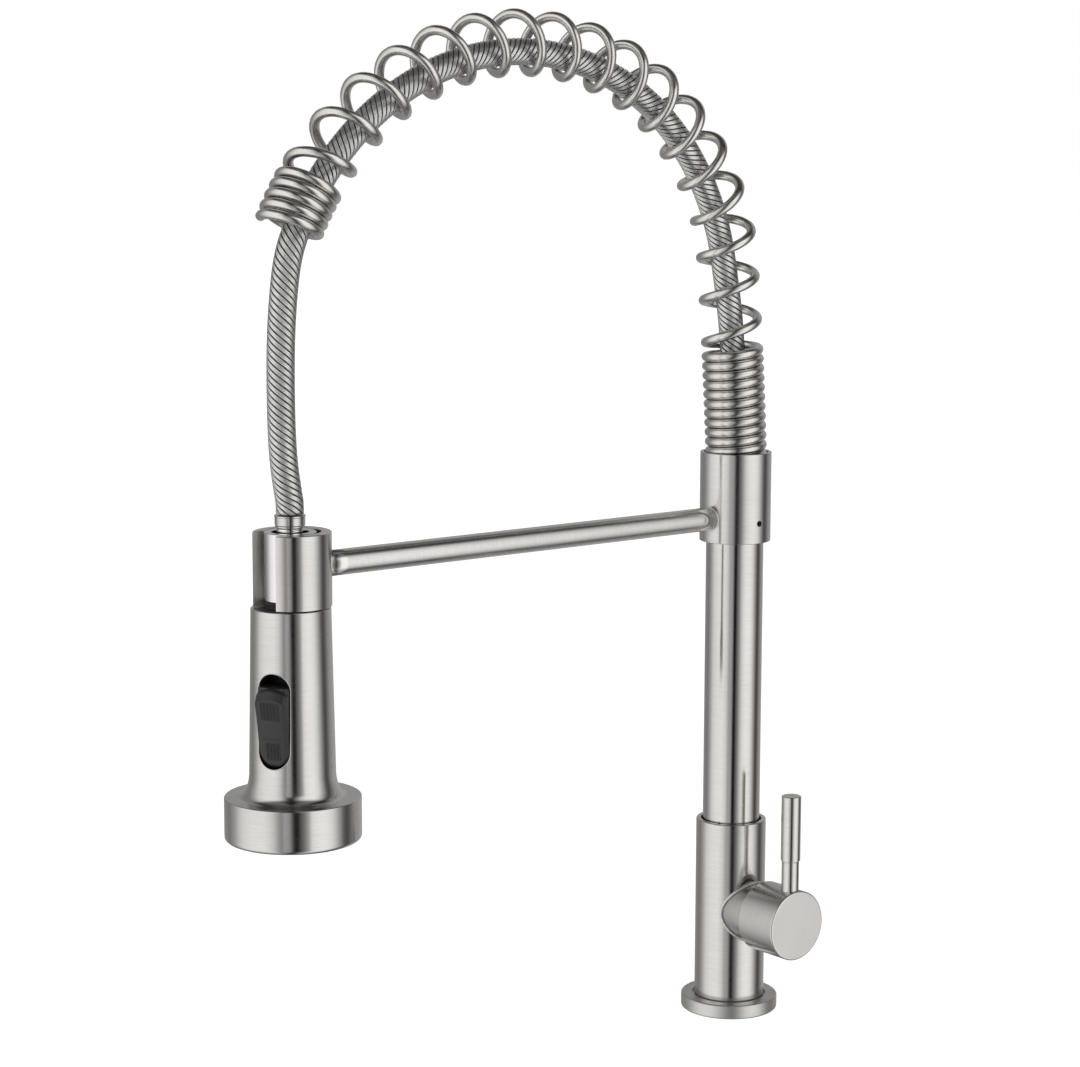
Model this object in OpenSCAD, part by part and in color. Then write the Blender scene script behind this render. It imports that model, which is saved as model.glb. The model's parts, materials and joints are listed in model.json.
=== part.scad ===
// Pull-down kitchen faucet with a spring arch and a docking arm.
// Origin: centre of the deck flange's underside. +Z up, -Y towards the spray head, +X towards the handle.

/* [Base] */
// Diameter of the flange that stands on the deck
flange_d = 47.6; // [46:0.2:52]
// Thickness of the deck flange
flange_h = 7; // [6:0.5:9]
// Outer diameter of the valve body
body_d = 34.4; // [34:0.2:35.6]
// Height of the valve body's top rim above the deck
body_top = 96.5; // [94:0.5:104]
// Wall thickness of the valve body's tube
body_wall = 2.35; // [2:0.05:2.6]

/* [Handle] */
// Height of the handle's axis above the deck
handle_z = 52; // [50:0.5:54]
// Outer diameter of the sleeve that holds the cartridge
sleeve_d = 28.4; // [28.2:0.1:28.8]
// Diameter of the handle's cap
cap_d = 34.2; // [33.6:0.2:36]
// Distance of the cap's end face from the post's axis
cap_face = 48; // [47.5:0.5:50]
// Diameter of the lever's grip
lever_d = 9.5; // [8:0.1:11]
// Height of the lever's tip above the deck
lever_top = 115.7; // [100:0.5:130]

/* [Post] */
// Outer diameter of the riser tube
riser_d = 28; // [27.6:0.1:28]
// Height of the collar's lower edge
collar_bottom = 235.4; // [225:0.5:240]
// Outer diameter of the collar
collar_d = 34.6; // [34:0.2:36]
// Height of the collar's open top rim
collar_top = 279; // [278:0.5:282]

/* [Docking arm] */
// Distance from the post's axis to the docking ring's axis
reach = 257; // [254:0.5:257]
// Height of the arm's axis
arm_z = 247.1; // [245:0.1:249]
// Diameter of the arm
arm_d = 11.4; // [10:0.2:13]
// Outer diameter of the docking ring
ring_d = 34; // [33:0.2:36]
// Bore of the docking ring
ring_bore = 25; // [24:0.1:26]
// Width of the slot in the docking ring
ring_slot = 18; // [15:0.5:19]

/* [Spring and hose] */
// Diameter of the spring wire
wire_d = 4.5; // [4:0.1:4.5]
// Mean radius of the spring's coils
coil_r = 12.8; // [12.6:0.1:12.8]
// Close turns around the post
post_turns = 12; // [12:1:12]
// Open turns along the arch
open_turns = 17; // [15.5:0.5:17.5]
// Close turns at the free end
end_turns = 5; // [4:1:6]
// Outer diameter of the braided hose
hose_d = 12.2; // [11:0.1:12.2]

/* [Spray head] */
// Distance of the head's axis from the docking ring's axis
dock_play = 1; // [0.5:0.1:1]
// Outer diameter of the head at its top
head_top_d = 34.7; // [34.4:0.1:35]
// Outer diameter of the head above its flare
head_low_d = 37.6; // [37:0.1:38]
// Diameter of the spray disc
disc_d = 59.7; // [58:0.1:62]
// Height of the spray disc's lower rim
disc_bottom = 128; // [127.5:0.1:128.5]
// Height of the spray disc's upper face
disc_top = 147.3; // [147:0.1:147.6]
// Angle of the button around the head, from the front towards the handle side
button_angle = 30; // [20:1:40]
// Width of the button's slot
button_w = 15; // [15:0.1:15.4]

/* [Hidden] */
$fn = 96;
eps = 0.01;

// Base, from the deck up
body_r = body_d / 2;
core_r = body_r - body_wall;
core_top = 82;
gasket_in = 18;
gasket_out = 21.4;
gasket_h = 2;
groove_w = 0.9;
groove_h = 1.2;
stud_r = 3.4;
stud_depth = 14;
inlet_r = 4.5;
inlet_depth = 12;
inlet_x = -5;
inlet_y = 8.5;
outlet_x = -2;
outlet_dz = 7;
channel_r = 2.6;
ports = [[-inlet_y, 0], [inlet_y, 0], [0, outlet_dz]];

// Cartridge, along +X from its seat
chamber_r = 12.6;
seat_x = 4;
seal_t = 1;
housing_x = seat_x + seal_t;
housing_in = 10.7;
fixed_x = 7;
moving_x = 10;
disc_r = 10.6;
moving_r = 7;
disc_rest = -1.8;
rotor_x = 15.8;
rotor_head_x = 21.4;
rotor_head_r = 7.8;
rotor_end = 26;
cover_x = 21.5;
nut_x = 23;
nut_end = 28;
sleeve_end = 26;
pivot_x = 22;
spindle_r = 3.4;
ball_x = 14;
ball_r = 2.4;
ball_socket_r = 2.6;
ball_socket_x = 11.4;
ball_neck_r = 1.7;
pin_r = 1.5;
pin_len = 14.4;
nut_collar_r = 12.2;

// Handle
cap_r = cap_d / 2;
cap_rear = 24.6;
cap_cavity_r = 14.7;
cap_cavity_end = 35;
socket_end = 42.2;
lever_x = 42.7;
lever_r = lever_d / 2;
lever_stud_r = 2.5;
stem_r = 4.2;
step_z = 83.6;
cap_screw_x = 39;
cap_screw_r = 2.5;
relief_lip_x = 45.6;
relief_angle = 4;
stud_end = handle_z + 6;
stem_seat = handle_z + 15.4;

// Post
riser_r = riser_d / 2;
riser_bore = riser_r - 1.5;
riser_bottom = 84.05;
riser_top = 268;
spigot_bottom = 66.5;
spigot_r = 11;
spigot_bore = 6.5;
spigot_gap = 0.06;
o_ring_zs = [69, 73];
washer_t = 2;
bush_h = 8;
groove_z = 78.5;
swivel_screw_r = 2;
plug_r = 9;
plug_bore = 4.5;
plug_top = 285;
collar_r = collar_d / 2;
recess_floor = 272;
recess_r = 15.6;
set_screw_z = 245.2;
set_screw_r = 1.5;

// Docking arm and ring
ring_r = ring_d / 2;
ring_bottom = 230.5;
ring_top = 262.9;

// Arch: tangent arcs, each with its radius and the angle that it turns through
arch_start_z = 274.4;
arch_start_s = -0.25;
arch_lean = 2.9;
arch_arcs = [[1850, 3.1], [73, 15], [120, 45], [138, 40], [140, 48.6]];
close_pitch = 4.62;
wire_r = wire_d / 2;
coil_steps = 14;
wire_sides = 6;

// Hose: it follows the arch, low in the coils, then hangs to the head along these points
hose_r = hose_d / 2;
hose_start_z = 299;
hose_low = 3.8;
hose_lowers_from = 60;
hose_lowers_over = 60;
lower_ferrule_r = 7.6;
hose_ring_step = 10;
hose_sides = 10;
drop_points = [
  [256, 384.5], [258.3, 376], [260.2, 362], [261.5, 345],
  [261.9, 325], [261.6, 305], [260.6, 291], [259, 281], [258.1, 275.5]
];

// Spray head, about its own vertical axis
head_y = reach + dock_play;
shell_top = 230.2;
shell_wall = 1.9;
head_r = head_top_d / 2;
low_r = head_low_d / 2;
disc_r_out = disc_d / 2;
disc_wall = 2;
flare_w = 5.2;
flare_h = 11;
neck_r = 11.4;
neck_bottom = 233.4;
neck_bore = 8.1;
neck_ledge = 255;
neck_stem_r = 8;
neck_stem_bottom = 218;
neck_way_r = 5;
seal_r = 11.6;
nut_r = 5.9;
nut_top = 264.5;
nut_low_r = 7.2;
nut_bottom = 240;
stem_bottom = 236;
stem_foot_top = 238;
swivel_r = 3.5;
water_r = 2.2;
ferrule_bottom = 264.8;
ferrule_top = 270;
ferrule_r = 6.6;
slot_bottom = 162.4;
slot_top = 204;
button_gap = 0.3;
button_back = 10.4;
button_low = slot_bottom + 0.8;
button_high = 198;
pivot_v = 12.5;
pivot_z = 180;
rocker_pin_r = 1;
spool_r = 3.9;
spool_bore = 4;
spool_low = 171;
spool_high = 189;
inner_core_r = 15;
inner_core_top = 226;
valve_r = 6;
valve_low = 202;
valve_seat = 198;
plate_top = 134;
plate_wall_r = 13.7;
core_flange = 141;
face_gap = 0.3;
aerator_r = 9.5;
inner_row_r = 16.5;
outer_row_r = 22.5;
inner_row_n = 14;
outer_row_n = 22;
nozzle_r = 1.3;

steel = [0.78, 0.76, 0.73];
bright = [0.88, 0.88, 0.88];
black = [0.12, 0.12, 0.13];
brass = [0.80, 0.66, 0.36];
white_plastic = [0.90, 0.90, 0.88];
ceramic = [0.95, 0.93, 0.88];

// ---------- helpers ----------

module ring(r_out, r_in, z0, z1) {
  translate([0, 0, z0])
    difference() {
      cylinder(r = r_out, h = z1 - z0);
      translate([0, 0, -1]) cylinder(r = r_in, h = z1 - z0 + 2);
    }
}

module rod(r, z0, z1) {
  translate([0, 0, z0]) cylinder(r = r, h = z1 - z0);
}

// A rod along +X at the handle's height
module rod_x(r, x0, x1, y = 0, dz = 0) {
  translate([x0, y, handle_z + dz]) rotate([0, 90, 0]) cylinder(r = r, h = x1 - x0);
}

module at_head() {
  translate([0, -head_y, 0]) children();
}

// Local frame of the button: -Y points out of the head, X runs across the button
module at_button() {
  at_head() rotate([0, 0, button_angle]) children();
}

// Shape given as [distance out, height], extruded across the button
module across_button(points, width) {
  translate([-width / 2, 0, 0])
    rotate([90, 0, 90])
      linear_extrude(width) polygon([for (p = points) [-p[0], p[1]]]);
}

// Upright slot shape with round ends, extruded outwards from v0 to v1
module obround_out(width, z0, z1, v0, v1) {
  r = width / 2;
  translate([0, -v0, 0])
    rotate([90, 0, 0])
      linear_extrude(v1 - v0)
        union() {
          translate([-r, z0 + r]) square([width, z1 - z0 - width]);
          translate([0, z0 + r]) circle(r = r);
          translate([0, z1 - r]) circle(r = r);
        }
}

// ---------- arch geometry: s is the distance from the post, z the height ----------

function arc_len(i) = arch_arcs[i][0] * arch_arcs[i][1] * PI / 180;
function arc_start(i) = i == 0 ? 0 : arc_start(i - 1) + arc_len(i - 1);
function arc_heading(i) = i == 0 ? arch_lean : arc_heading(i - 1) + arch_arcs[i - 1][1];
function arc_move(i, a) = let (h = arc_heading(i), r = arch_arcs[i][0])
  [r * (cos(h) - cos(h + a)), r * (sin(h + a) - sin(h))];
function arc_point(i) = i == 0 ? [arch_start_s, arch_start_z]
  : arc_point(i - 1) + arc_move(i - 1, arch_arcs[i - 1][1]);
function arc_of(u, i = 0) =
  (i == len(arch_arcs) - 1 || u < arc_start(i + 1)) ? i : arc_of(u, i + 1);
function turned(u, i) = (u - arc_start(i)) / arch_arcs[i][0] * 180 / PI;
function heading(u) = let (i = arc_of(u)) arc_heading(i) + turned(u, i);
function arch_point(u) = let (i = arc_of(u)) arc_point(i) + arc_move(i, turned(u, i));
arch_len = arc_start(len(arch_arcs));

post_len = post_turns * close_pitch;
end_len = end_turns * close_pitch;
open_len = arch_len - post_len - end_len;
all_turns = post_turns + open_turns + end_turns;

// Distance along the arch after t turns
function turn_u(t) = t < post_turns ? t * close_pitch
  : t < post_turns + open_turns ? post_len + (t - post_turns) * open_len / open_turns
  : post_len + open_len + (t - post_turns - open_turns) * close_pitch;

// Point in space from [s, z], pushed out of the arch by b and sideways by a
function in_space(p, h, a, b) = [a, -p[0] + b * cos(h), p[1] + b * sin(h)];

function coil_centre(t) = let (u = turn_u(t), w = 180 + 360 * t)
  in_space(arch_point(u), heading(u), coil_r * cos(w), coil_r * sin(w));

function unit(v) = v / norm(v);

// Rings of points about a centreline; side_of gives a direction that is never along it
function sweep_rings(line, radius, sides, side_of) = [
  for (i = [0:len(line) - 1])
    let (
      a = line[max(i - 1, 0)],
      b = line[min(i + 1, len(line) - 1)],
      t = unit(b - a),
      e = unit(cross(t, side_of[i])),
      f = cross(t, e)
    )
    for (k = [0:sides - 1])
      let (w = 360 * (k + 0.5) / sides) line[i] + radius * (cos(w) * e + sin(w) * f)
];

module sweep(line, radius, sides, side_of) {
  n = len(line);
  rings = sweep_rings(line, radius, sides, side_of);
  walls = [
    for (i = [0:n - 2]) for (k = [0:sides - 1])
      let (k2 = (k + 1) % sides, p = i * sides, q = (i + 1) * sides)
      each [[p + k, q + k, p + k2], [p + k2, q + k, q + k2]]
  ];
  ends = [
    for (k = [1:sides - 2])
      each [[0, k, k + 1], [(n - 1) * sides, (n - 1) * sides + k + 1, (n - 1) * sides + k]]
  ];
  polyhedron(points = rings, faces = concat(walls, ends), convexity = 10);
}

// ---------- base ----------

module deck_flange() {
  color(steel)
    difference() {
      rotate_extrude()
        polygon([
          [core_r, 0], [flange_d / 2 - 1.2, 0], [flange_d / 2, 1.2],
          [flange_d / 2, flange_h - 0.8], [flange_d / 2 - 0.8, flange_h], [core_r, flange_h]
        ]);
      ring(gasket_out, gasket_in, -eps, gasket_h);
      // Groove round the foot of the body
      ring(body_r + groove_w, body_r, flange_h - groove_h, flange_h + eps);
    }
}

module base_gasket() {
  color(black) ring(gasket_out, gasket_in, 0, gasket_h);
}

module valve_body() {
  color(steel)
    difference() {
      rotate_extrude()
        polygon([
          [core_r, flange_h], [body_r - 0.3, flange_h], [body_r, flange_h + 0.3],
          [body_r, body_top - 0.8], [body_r - 0.8, body_top], [core_r, body_top]
        ]);
      rod_x(chamber_r, 0, body_r + 2);
      translate([0, core_r - 1, groove_z]) rotate([-90, 0, 0]) cylinder(r = swivel_screw_r, h = 5);
    }
}

module valve_core() {
  color(brass)
    difference() {
      rod(core_r, 0, core_top);
      rod(stud_r, -1, stud_depth);
      for (side = [-1, 1]) {
        translate([inlet_x, side * inlet_y, -1]) cylinder(r = inlet_r, h = inlet_depth + 1);
        translate([inlet_x, side * inlet_y, 0]) cylinder(r = channel_r, h = handle_z);
        rod_x(channel_r, inlet_x, seat_x + 1, side * inlet_y);
      }
      rod_x(chamber_r, seat_x, core_r + 1);
      rod_x(channel_r, outlet_x, seat_x + 1, 0, outlet_dz);
      translate([outlet_x, 0, handle_z + outlet_dz]) cylinder(r = channel_r, h = spigot_bottom - handle_z);
      rod(spigot_r + spigot_gap, spigot_bottom - 0.5, core_top + 1);
      translate([0, spigot_r - 2, groove_z]) rotate([-90, 0, 0]) cylinder(r = swivel_screw_r, h = 8);
    }
}

module cartridge_sleeve() {
  color(steel)
    difference() {
      rod_x(sleeve_d / 2, 8, sleeve_end);
      rod_x(chamber_r, 0, sleeve_end + 1);
      rod(body_r, 0, body_top);
    }
}

module port_seals() {
  color(black)
    for (p = ports)
      difference() {
        rod_x(channel_r + 1, seat_x, seat_x + seal_t, p[0], p[1]);
        rod_x(channel_r, seat_x - 1, seat_x + seal_t + 1, p[0], p[1]);
      }
}

module cartridge_housing() {
  color(white_plastic)
    difference() {
      rod_x(chamber_r - 0.1, housing_x, nut_x);
      rod_x(housing_in, fixed_x, cover_x);
      rod_x(rotor_head_r + 0.2, cover_x - 1, nut_x + 1);
      for (p = ports)
        rod_x(channel_r - 0.6, housing_x - 1, fixed_x + 1, p[0], p[1]);
    }
}

module fixed_disc() {
  color(ceramic)
    difference() {
      rod_x(disc_r, fixed_x, moving_x);
      for (p = [[-7, 0], [7, 0], [0, 6]]) rod_x(2, fixed_x - 1, moving_x + 1, p[0], p[1]);
    }
}

module moving_disc() {
  color(ceramic)
    difference() {
      rod_x(moving_r, moving_x + 0.02, rotor_x - 0.4, 0, disc_rest);
      rod_x(4.5, moving_x - 1, moving_x + 1, 0, disc_rest);
      rod_x(ball_socket_r, ball_socket_x, rotor_x, 0, 0);
    }
}

module cartridge_rotor() {
  color(white_plastic)
    difference() {
      union() {
        rod_x(disc_r, rotor_x, rotor_head_x);
        rod_x(rotor_head_r, rotor_head_x - eps, rotor_end);
      }
      translate([rotor_x - 1, -spindle_r - 0.15, handle_z - 6])
        cube([rotor_end - rotor_x + 2, 2 * spindle_r + 0.3, 12]);
      translate([pivot_x, 0, handle_z])
        rotate([90, 0, 0]) cylinder(r = pin_r, h = 30, center = true);
    }
}

module spindle_pin() {
  color(steel)
    translate([pivot_x, 0, handle_z]) rotate([90, 0, 0]) cylinder(r = pin_r, h = pin_len, center = true);
}

module cartridge_nut() {
  color(brass)
    difference() {
      union() {
        rod_x(chamber_r, nut_x, sleeve_end);
        rod_x(nut_collar_r, sleeve_end - eps, nut_end);
      }
      rod_x(rotor_head_r + 0.4, nut_x - 1, nut_end + 1);
    }
}

// ---------- handle ----------

module spindle() {
  color(brass)
    difference() {
      union() {
        rod_x(spindle_r, pivot_x - 3, socket_end);
        rod_x(ball_neck_r, ball_x, pivot_x);
        translate([ball_x, 0, handle_z]) sphere(r = ball_r);
      }
      translate([pivot_x, 0, handle_z])
        rotate([90, 0, 0]) cylinder(r = pin_r + 0.05, h = 30, center = true);
    }
}

module handle_cap() {
  color(steel)
    difference() {
      translate([0, 0, handle_z])
        rotate([0, 90, 0])
          rotate_extrude()
            polygon([
              [0, cap_rear], [cap_r - 0.4, cap_rear], [cap_r, cap_rear + 0.4],
              [cap_r, cap_face - 0.9], [cap_r - 0.9, cap_face], [0, cap_face]
            ]);
      rod_x(cap_cavity_r, cap_rear - 1, cap_cavity_end);
      rod_x(spindle_r, cap_cavity_end - 1, socket_end);
      rod_at_lever(lever_stud_r, stud_end, handle_z + cap_r + 1);
      rod_at_lever(stem_r, stem_seat, handle_z + cap_r + 1);
      translate([cap_screw_x, 0, handle_z - cap_r - 1]) cylinder(r = cap_screw_r, h = cap_r + 2 - spindle_r);
      // Oblique relief under the cap's rear, for the tilt towards open
      translate([relief_lip_x, -20, handle_z - cap_r + 0.15])
        rotate([0, relief_angle, 0]) translate([-30, 0, -10]) cube([30, 40, 10]);
    }
}

module rod_at_lever(r, z0, z1) {
  translate([lever_x, 0, 0]) rod(r, z0, z1);
}

module lever_rod() {
  color(steel) {
    rod_at_lever(lever_stud_r, stud_end, stem_seat + 1);
    rod_at_lever(stem_r, stem_seat, step_z);
    translate([lever_x, 0, 0])
      rotate_extrude()
        polygon([
          [0, step_z], [lever_r - 0.5, step_z], [lever_r, step_z + 0.5],
          [lever_r, lever_top - 0.6], [lever_r - 0.6, lever_top], [0, lever_top]
        ]);
  }
}

module handle_set_screw() {
  color(steel)
    translate([cap_screw_x, 0, handle_z])
      difference() {
        rod(cap_screw_r, -cap_r + 4.5, -spindle_r);
        rod(1.2, -cap_r + 3.5, -cap_r + 7.5);
      }
}

// ---------- post ----------

module thrust_washer() {
  color(white_plastic) ring(core_r, spigot_r + 0.3, core_top, core_top + washer_t);
}

module guide_bush() {
  color(white_plastic) ring(core_r, riser_r + 0.06, core_top + washer_t, core_top + washer_t + bush_h);
}

module swivel_screw() {
  color(steel)
    translate([0, 0, groove_z])
      rotate([-90, 0, 0])
        difference() {
          rod(swivel_screw_r, spigot_r - 1.2, body_r - 0.8);
          rod(1, body_r - 3, body_r);
        }
}

module swivel_spigot() {
  color(brass)
    difference() {
      union() {
        rod(spigot_r, spigot_bottom, riser_bottom);
        rod(riser_bore, riser_bottom - eps, riser_bottom + 14);
      }
      rod(spigot_bore, spigot_bottom - 1, riser_bottom + 15);
      for (z = o_ring_zs) ring(spigot_r + 1, spigot_r - 2.3, z - 1.2, z + 1.2);
      ring(spigot_r + 1, spigot_r - 1.7, groove_z - 2.3, groove_z + 2.3);
    }
}

module swivel_o_rings() {
  color(black)
    for (z = o_ring_zs)
      translate([0, 0, z])
        rotate_extrude() translate([spigot_r - 1.15, 0]) circle(r = 1.14, $fn = 32);
}

module riser_tube() {
  color(steel) ring(riser_r, riser_bore, riser_bottom, riser_top);
}

module spout_plug() {
  color(brass)
    difference() {
      union() {
        rod(riser_bore, riser_top - 14, riser_top);
        rod(plug_r, riser_top - eps, plug_top);
      }
      rod(plug_bore, riser_top - 15, plug_top + 1);
    }
}

module collar() {
  color(steel)
    difference() {
      rotate_extrude()
        polygon([
          [riser_r, collar_bottom], [collar_r - 0.4, collar_bottom],
          [collar_r, collar_bottom + 0.4], [collar_r, collar_top - 0.5],
          [collar_r - 0.5, collar_top], [recess_r, collar_top],
          [recess_r, recess_floor], [plug_r + 0.5, recess_floor],
          [plug_r + 0.5, riser_top], [riser_r, riser_top]
        ]);
      translate([0, 0, set_screw_z]) rotate([0, 90, 0]) cylinder(r = set_screw_r, h = 30);
    }
}

module collar_set_screw() {
  color(black)
    translate([0, 0, set_screw_z])
      rotate([0, 90, 0])
        difference() {
          rod(set_screw_r, riser_r, collar_r - 0.6);
          rod(0.7, collar_r - 2, collar_r);
        }
}

// ---------- docking arm ----------

module docking_arm() {
  color(steel)
    difference() {
      translate([0, -10, arm_z]) rotate([90, 0, 0]) cylinder(d = arm_d, h = reach - 20);
      rod(collar_r, arm_z - 20, arm_z + 20);
      translate([0, -reach, 0]) rod(ring_r, arm_z - 20, arm_z + 20);
    }
}

module docking_ring() {
  color(steel)
    difference() {
      translate([0, -reach, 0])
        rotate_extrude()
          polygon([
            [ring_bore / 2, ring_bottom], [ring_r - 0.3, ring_bottom],
            [ring_r, ring_bottom + 0.3], [ring_r, ring_top - 0.6],
            [ring_r - 0.6, ring_top], [ring_bore / 2, ring_top]
          ]);
      translate([-ring_slot / 2, -reach - ring_d, ring_bottom - 1])
        cube([ring_slot, ring_d, ring_top - ring_bottom + 2]);
    }
}

// ---------- spring and hose ----------

module arch_spring() {
  steps = round(all_turns * coil_steps);
  turns = [for (i = [0:steps]) i * all_turns / steps];
  line = [for (t = turns) coil_centre(t)];
  side = [for (t = turns) let (h = heading(turn_u(t))) [0, -sin(h), cos(h)]];
  color(steel) sweep(line, wire_r, wire_sides, side);
}

// How far the hose lies towards the inside of the arch
function hose_shift(u) = let (k = min(1, max(0, (u - hose_lowers_from) / hose_lowers_over)))
  -hose_low * k * k * (3 - 2 * k);
function hose_sz(u) = let (h = heading(u), b = hose_shift(u))
  arch_point(u) + b * [-cos(h), sin(h)];
hose_from = hose_start_z - arch_start_z;

module hose_arch() {
  n = floor((arch_len - hose_from) / hose_ring_step);
  line = [
    for (i = [0:n])
      let (u = hose_from + (arch_len - hose_from) * i / n, p = hose_sz(u)) [0, -p[0], p[1]]
  ];
  color(bright) sweep(line, hose_r, hose_sides, [for (p = line) [1, 0, 0]]);
}

// Smooth curve through a list of [s, z] points, with a given number of steps in each gap
function between(a, b, c, d, k) = 0.5 * (
  2 * b + (c - a) * k + (2 * a - 5 * b + 4 * c - d) * k * k
  + (3 * b - a - 3 * c + d) * k * k * k);
function smooth(p, steps) = let (n = len(p)) concat(
  [
    for (i = [0:n - 2]) for (j = [0:steps - 1])
      between(p[max(i - 1, 0)], p[i], p[i + 1], p[min(i + 2, n - 1)], j / steps)
  ],
  [p[n - 1]]
);

module hose_drop() {
  route = concat([hose_sz(arch_len)], drop_points, [[head_y, ferrule_top + 0.5]]);
  line = [for (p = smooth(route, 2)) [0, -p[0], p[1]]];
  color(bright) sweep(line, hose_r, hose_sides, [for (p = line) [1, 0, 0]]);
}

module hose_lower_ferrule() {
  p = hose_sz(hose_from);
  color(bright)
    translate([0, -p[0], 0])
      difference() {
        rod(lower_ferrule_r, plug_top, hose_start_z - 0.4);
        rod(plug_bore, plug_top - 1, hose_start_z + 1);
      }
}

module hose_ferrule() {
  color(bright)
    at_head()
      difference() {
        rod(ferrule_r, ferrule_bottom, ferrule_top);
        rod(swivel_r, ferrule_bottom - 1, ferrule_top - 1.5);
      }
}

module hose_stem() {
  color(brass)
    at_head()
      difference() {
        union() {
          rod(swivel_r, stem_foot_top, ferrule_top - 1.5);
          rod(neck_way_r, stem_bottom, stem_foot_top + eps);
        }
        rod(water_r, stem_bottom - 1, ferrule_top);
      }
}

module stem_o_ring() {
  color(black)
    at_head() translate([0, 0, stem_foot_top + 0.9])
      rotate_extrude() translate([4.4, 0]) circle(r = 0.85, $fn = 32);
}

module hose_nut() {
  color(bright)
    at_head()
      difference() {
        union() {
          rod(nut_r, neck_ledge - 0.1, nut_top);
          rod(nut_low_r, nut_bottom, neck_ledge);
        }
        rod(swivel_r + 0.06, nut_bottom - 1, nut_top + 1);
      }
}

// ---------- spray head ----------

module spray_neck() {
  color(bright)
    at_head()
      difference() {
        union() {
          rotate_extrude()
            polygon([
              [0, neck_bottom], [neck_r, neck_bottom], [neck_r, ring_top - 0.5],
              [neck_r - 0.5, ring_top], [0, ring_top]
            ]);
          rod(neck_stem_r, neck_stem_bottom, neck_bottom + eps);
        }
        rod(neck_bore, neck_ledge, ring_top + 1);
        rod(nut_low_r, neck_bottom + 1.1, neck_ledge + 1);
        rod(neck_way_r, neck_stem_bottom - 1, neck_bottom + 2);
      }
}

module neck_seal() {
  color(black) at_head() ring(seal_r, neck_stem_r, shell_top, neck_bottom);
}

module shell_outline() {
  polygon(concat(
    [[0, disc_bottom], [disc_r_out - 2.2, disc_bottom], [disc_r_out - 0.6, disc_bottom + 1.4],
     [disc_r_out, disc_bottom + 3], [disc_r_out, disc_top - 0.6], [disc_r_out - 0.6, disc_top]],
    [for (a = [0:15:90]) [low_r + flare_w - flare_w * sin(a), disc_top + flare_h - flare_h * cos(a)]],
    [[head_r, shell_top - 0.5], [head_r - 0.5, shell_top], [0, shell_top]]
  ));
}

module head_shell() {
  color(steel)
    difference() {
      at_head() rotate_extrude() shell_outline();
      at_head() rod(disc_r_out - disc_wall, disc_bottom - 1, disc_top - disc_wall);
      at_head()
        rotate_extrude()
          polygon([
            [0, disc_top - disc_wall - 1], [low_r - shell_wall, disc_top - disc_wall - 1],
            [low_r - shell_wall, disc_top + flare_h], [head_r - shell_wall, shell_top - shell_wall],
            [0, shell_top - shell_wall]
          ]);
      at_head() rod(neck_stem_r, neck_stem_bottom, shell_top + 1);
      at_button() obround_out(button_w, slot_bottom, slot_top, 10, 30);
    }
}

module spray_core() {
  color(black)
    difference() {
      union() {
        at_head() rod(inner_core_r, core_flange + 1, inner_core_top);
        at_head() rod(disc_r_out - disc_wall - face_gap, core_flange, disc_top - disc_wall - 0.1);
        at_head() ring(13.5, 11.5, plate_top + 0.3, core_flange + eps);
      }
      at_head() rod(neck_stem_r, neck_stem_bottom, inner_core_top + 1);
      at_head() rod(valve_r, valve_seat, neck_stem_bottom + 1);
      at_head() rod(spool_bore, core_flange - 1, valve_seat + 1);
      at_button() obround_out(button_w + 0.4, slot_bottom - 0.2, slot_top + 0.2, 6.2, 30);
      at_button() translate([-2, -8, 174.5]) cube([4, 8, 9]);
      at_button()
        translate([0, -pivot_v, pivot_z])
          rotate([0, 90, 0]) cylinder(r = rocker_pin_r, h = 40, center = true);
    }
}

module check_valve() {
  color(white_plastic)
    at_head()
      difference() {
        rod(valve_r, valve_low, neck_stem_bottom);
        rod(valve_r / 2, valve_low + 4, neck_stem_bottom + 1);
        for (a = [0:90:270]) rotate([0, 0, a]) translate([4.5, 0, valve_low - 1]) cylinder(r = 0.8, h = 20);
      }
}

module diverter_spool() {
  color(white_plastic)
    difference() {
      at_head() rod(spool_r, spool_low, spool_high);
      at_button() translate([-2.2, -6, pivot_z - 1.8]) cube([4.4, 4.2, 3.6]);
    }
}

module rocker_pin() {
  color(steel)
    at_button()
      translate([0, -pivot_v, pivot_z])
        rotate([0, 90, 0]) cylinder(r = rocker_pin_r, h = 17, center = true);
}

module rocker_button() {
  width = button_w - 2 * button_gap;
  r = width / 2;
  shoulder_z = slot_top - r - 0.9;
  color(black)
    at_button()
      difference() {
        union() {
          intersection() {
            across_button([
              [button_back, button_low], [17.2, button_low], [19, 175.5], [22.2, 193.4],
              [20.6, 197], [19, button_high], [button_back, button_high]
            ], width);
            translate([0, -5, 0])
              rotate([90, 0, 0])
                linear_extrude(30)
                  union() {
                    translate([0, button_low + r]) circle(r = r);
                    translate([-r, button_low + r]) square([width, shoulder_z - button_low - r]);
                    translate([0, shoulder_z]) circle(r = r);
                  }
          }
          translate([-1.5, -11, pivot_z - 1.2]) cube([3, 8.4, 2.4]);
        }
        translate([0, -pivot_v, pivot_z])
          rotate([0, 90, 0]) cylinder(r = rocker_pin_r + 0.05, h = 40, center = true);
      }
}

function nozzle_spots() = concat(
  [for (i = [0:inner_row_n - 1]) let (a = 360 * i / inner_row_n) inner_row_r * [cos(a), sin(a)]],
  [for (i = [0:outer_row_n - 1]) let (a = 360 * i / outer_row_n) outer_row_r * [cos(a), sin(a)]]
);

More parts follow.
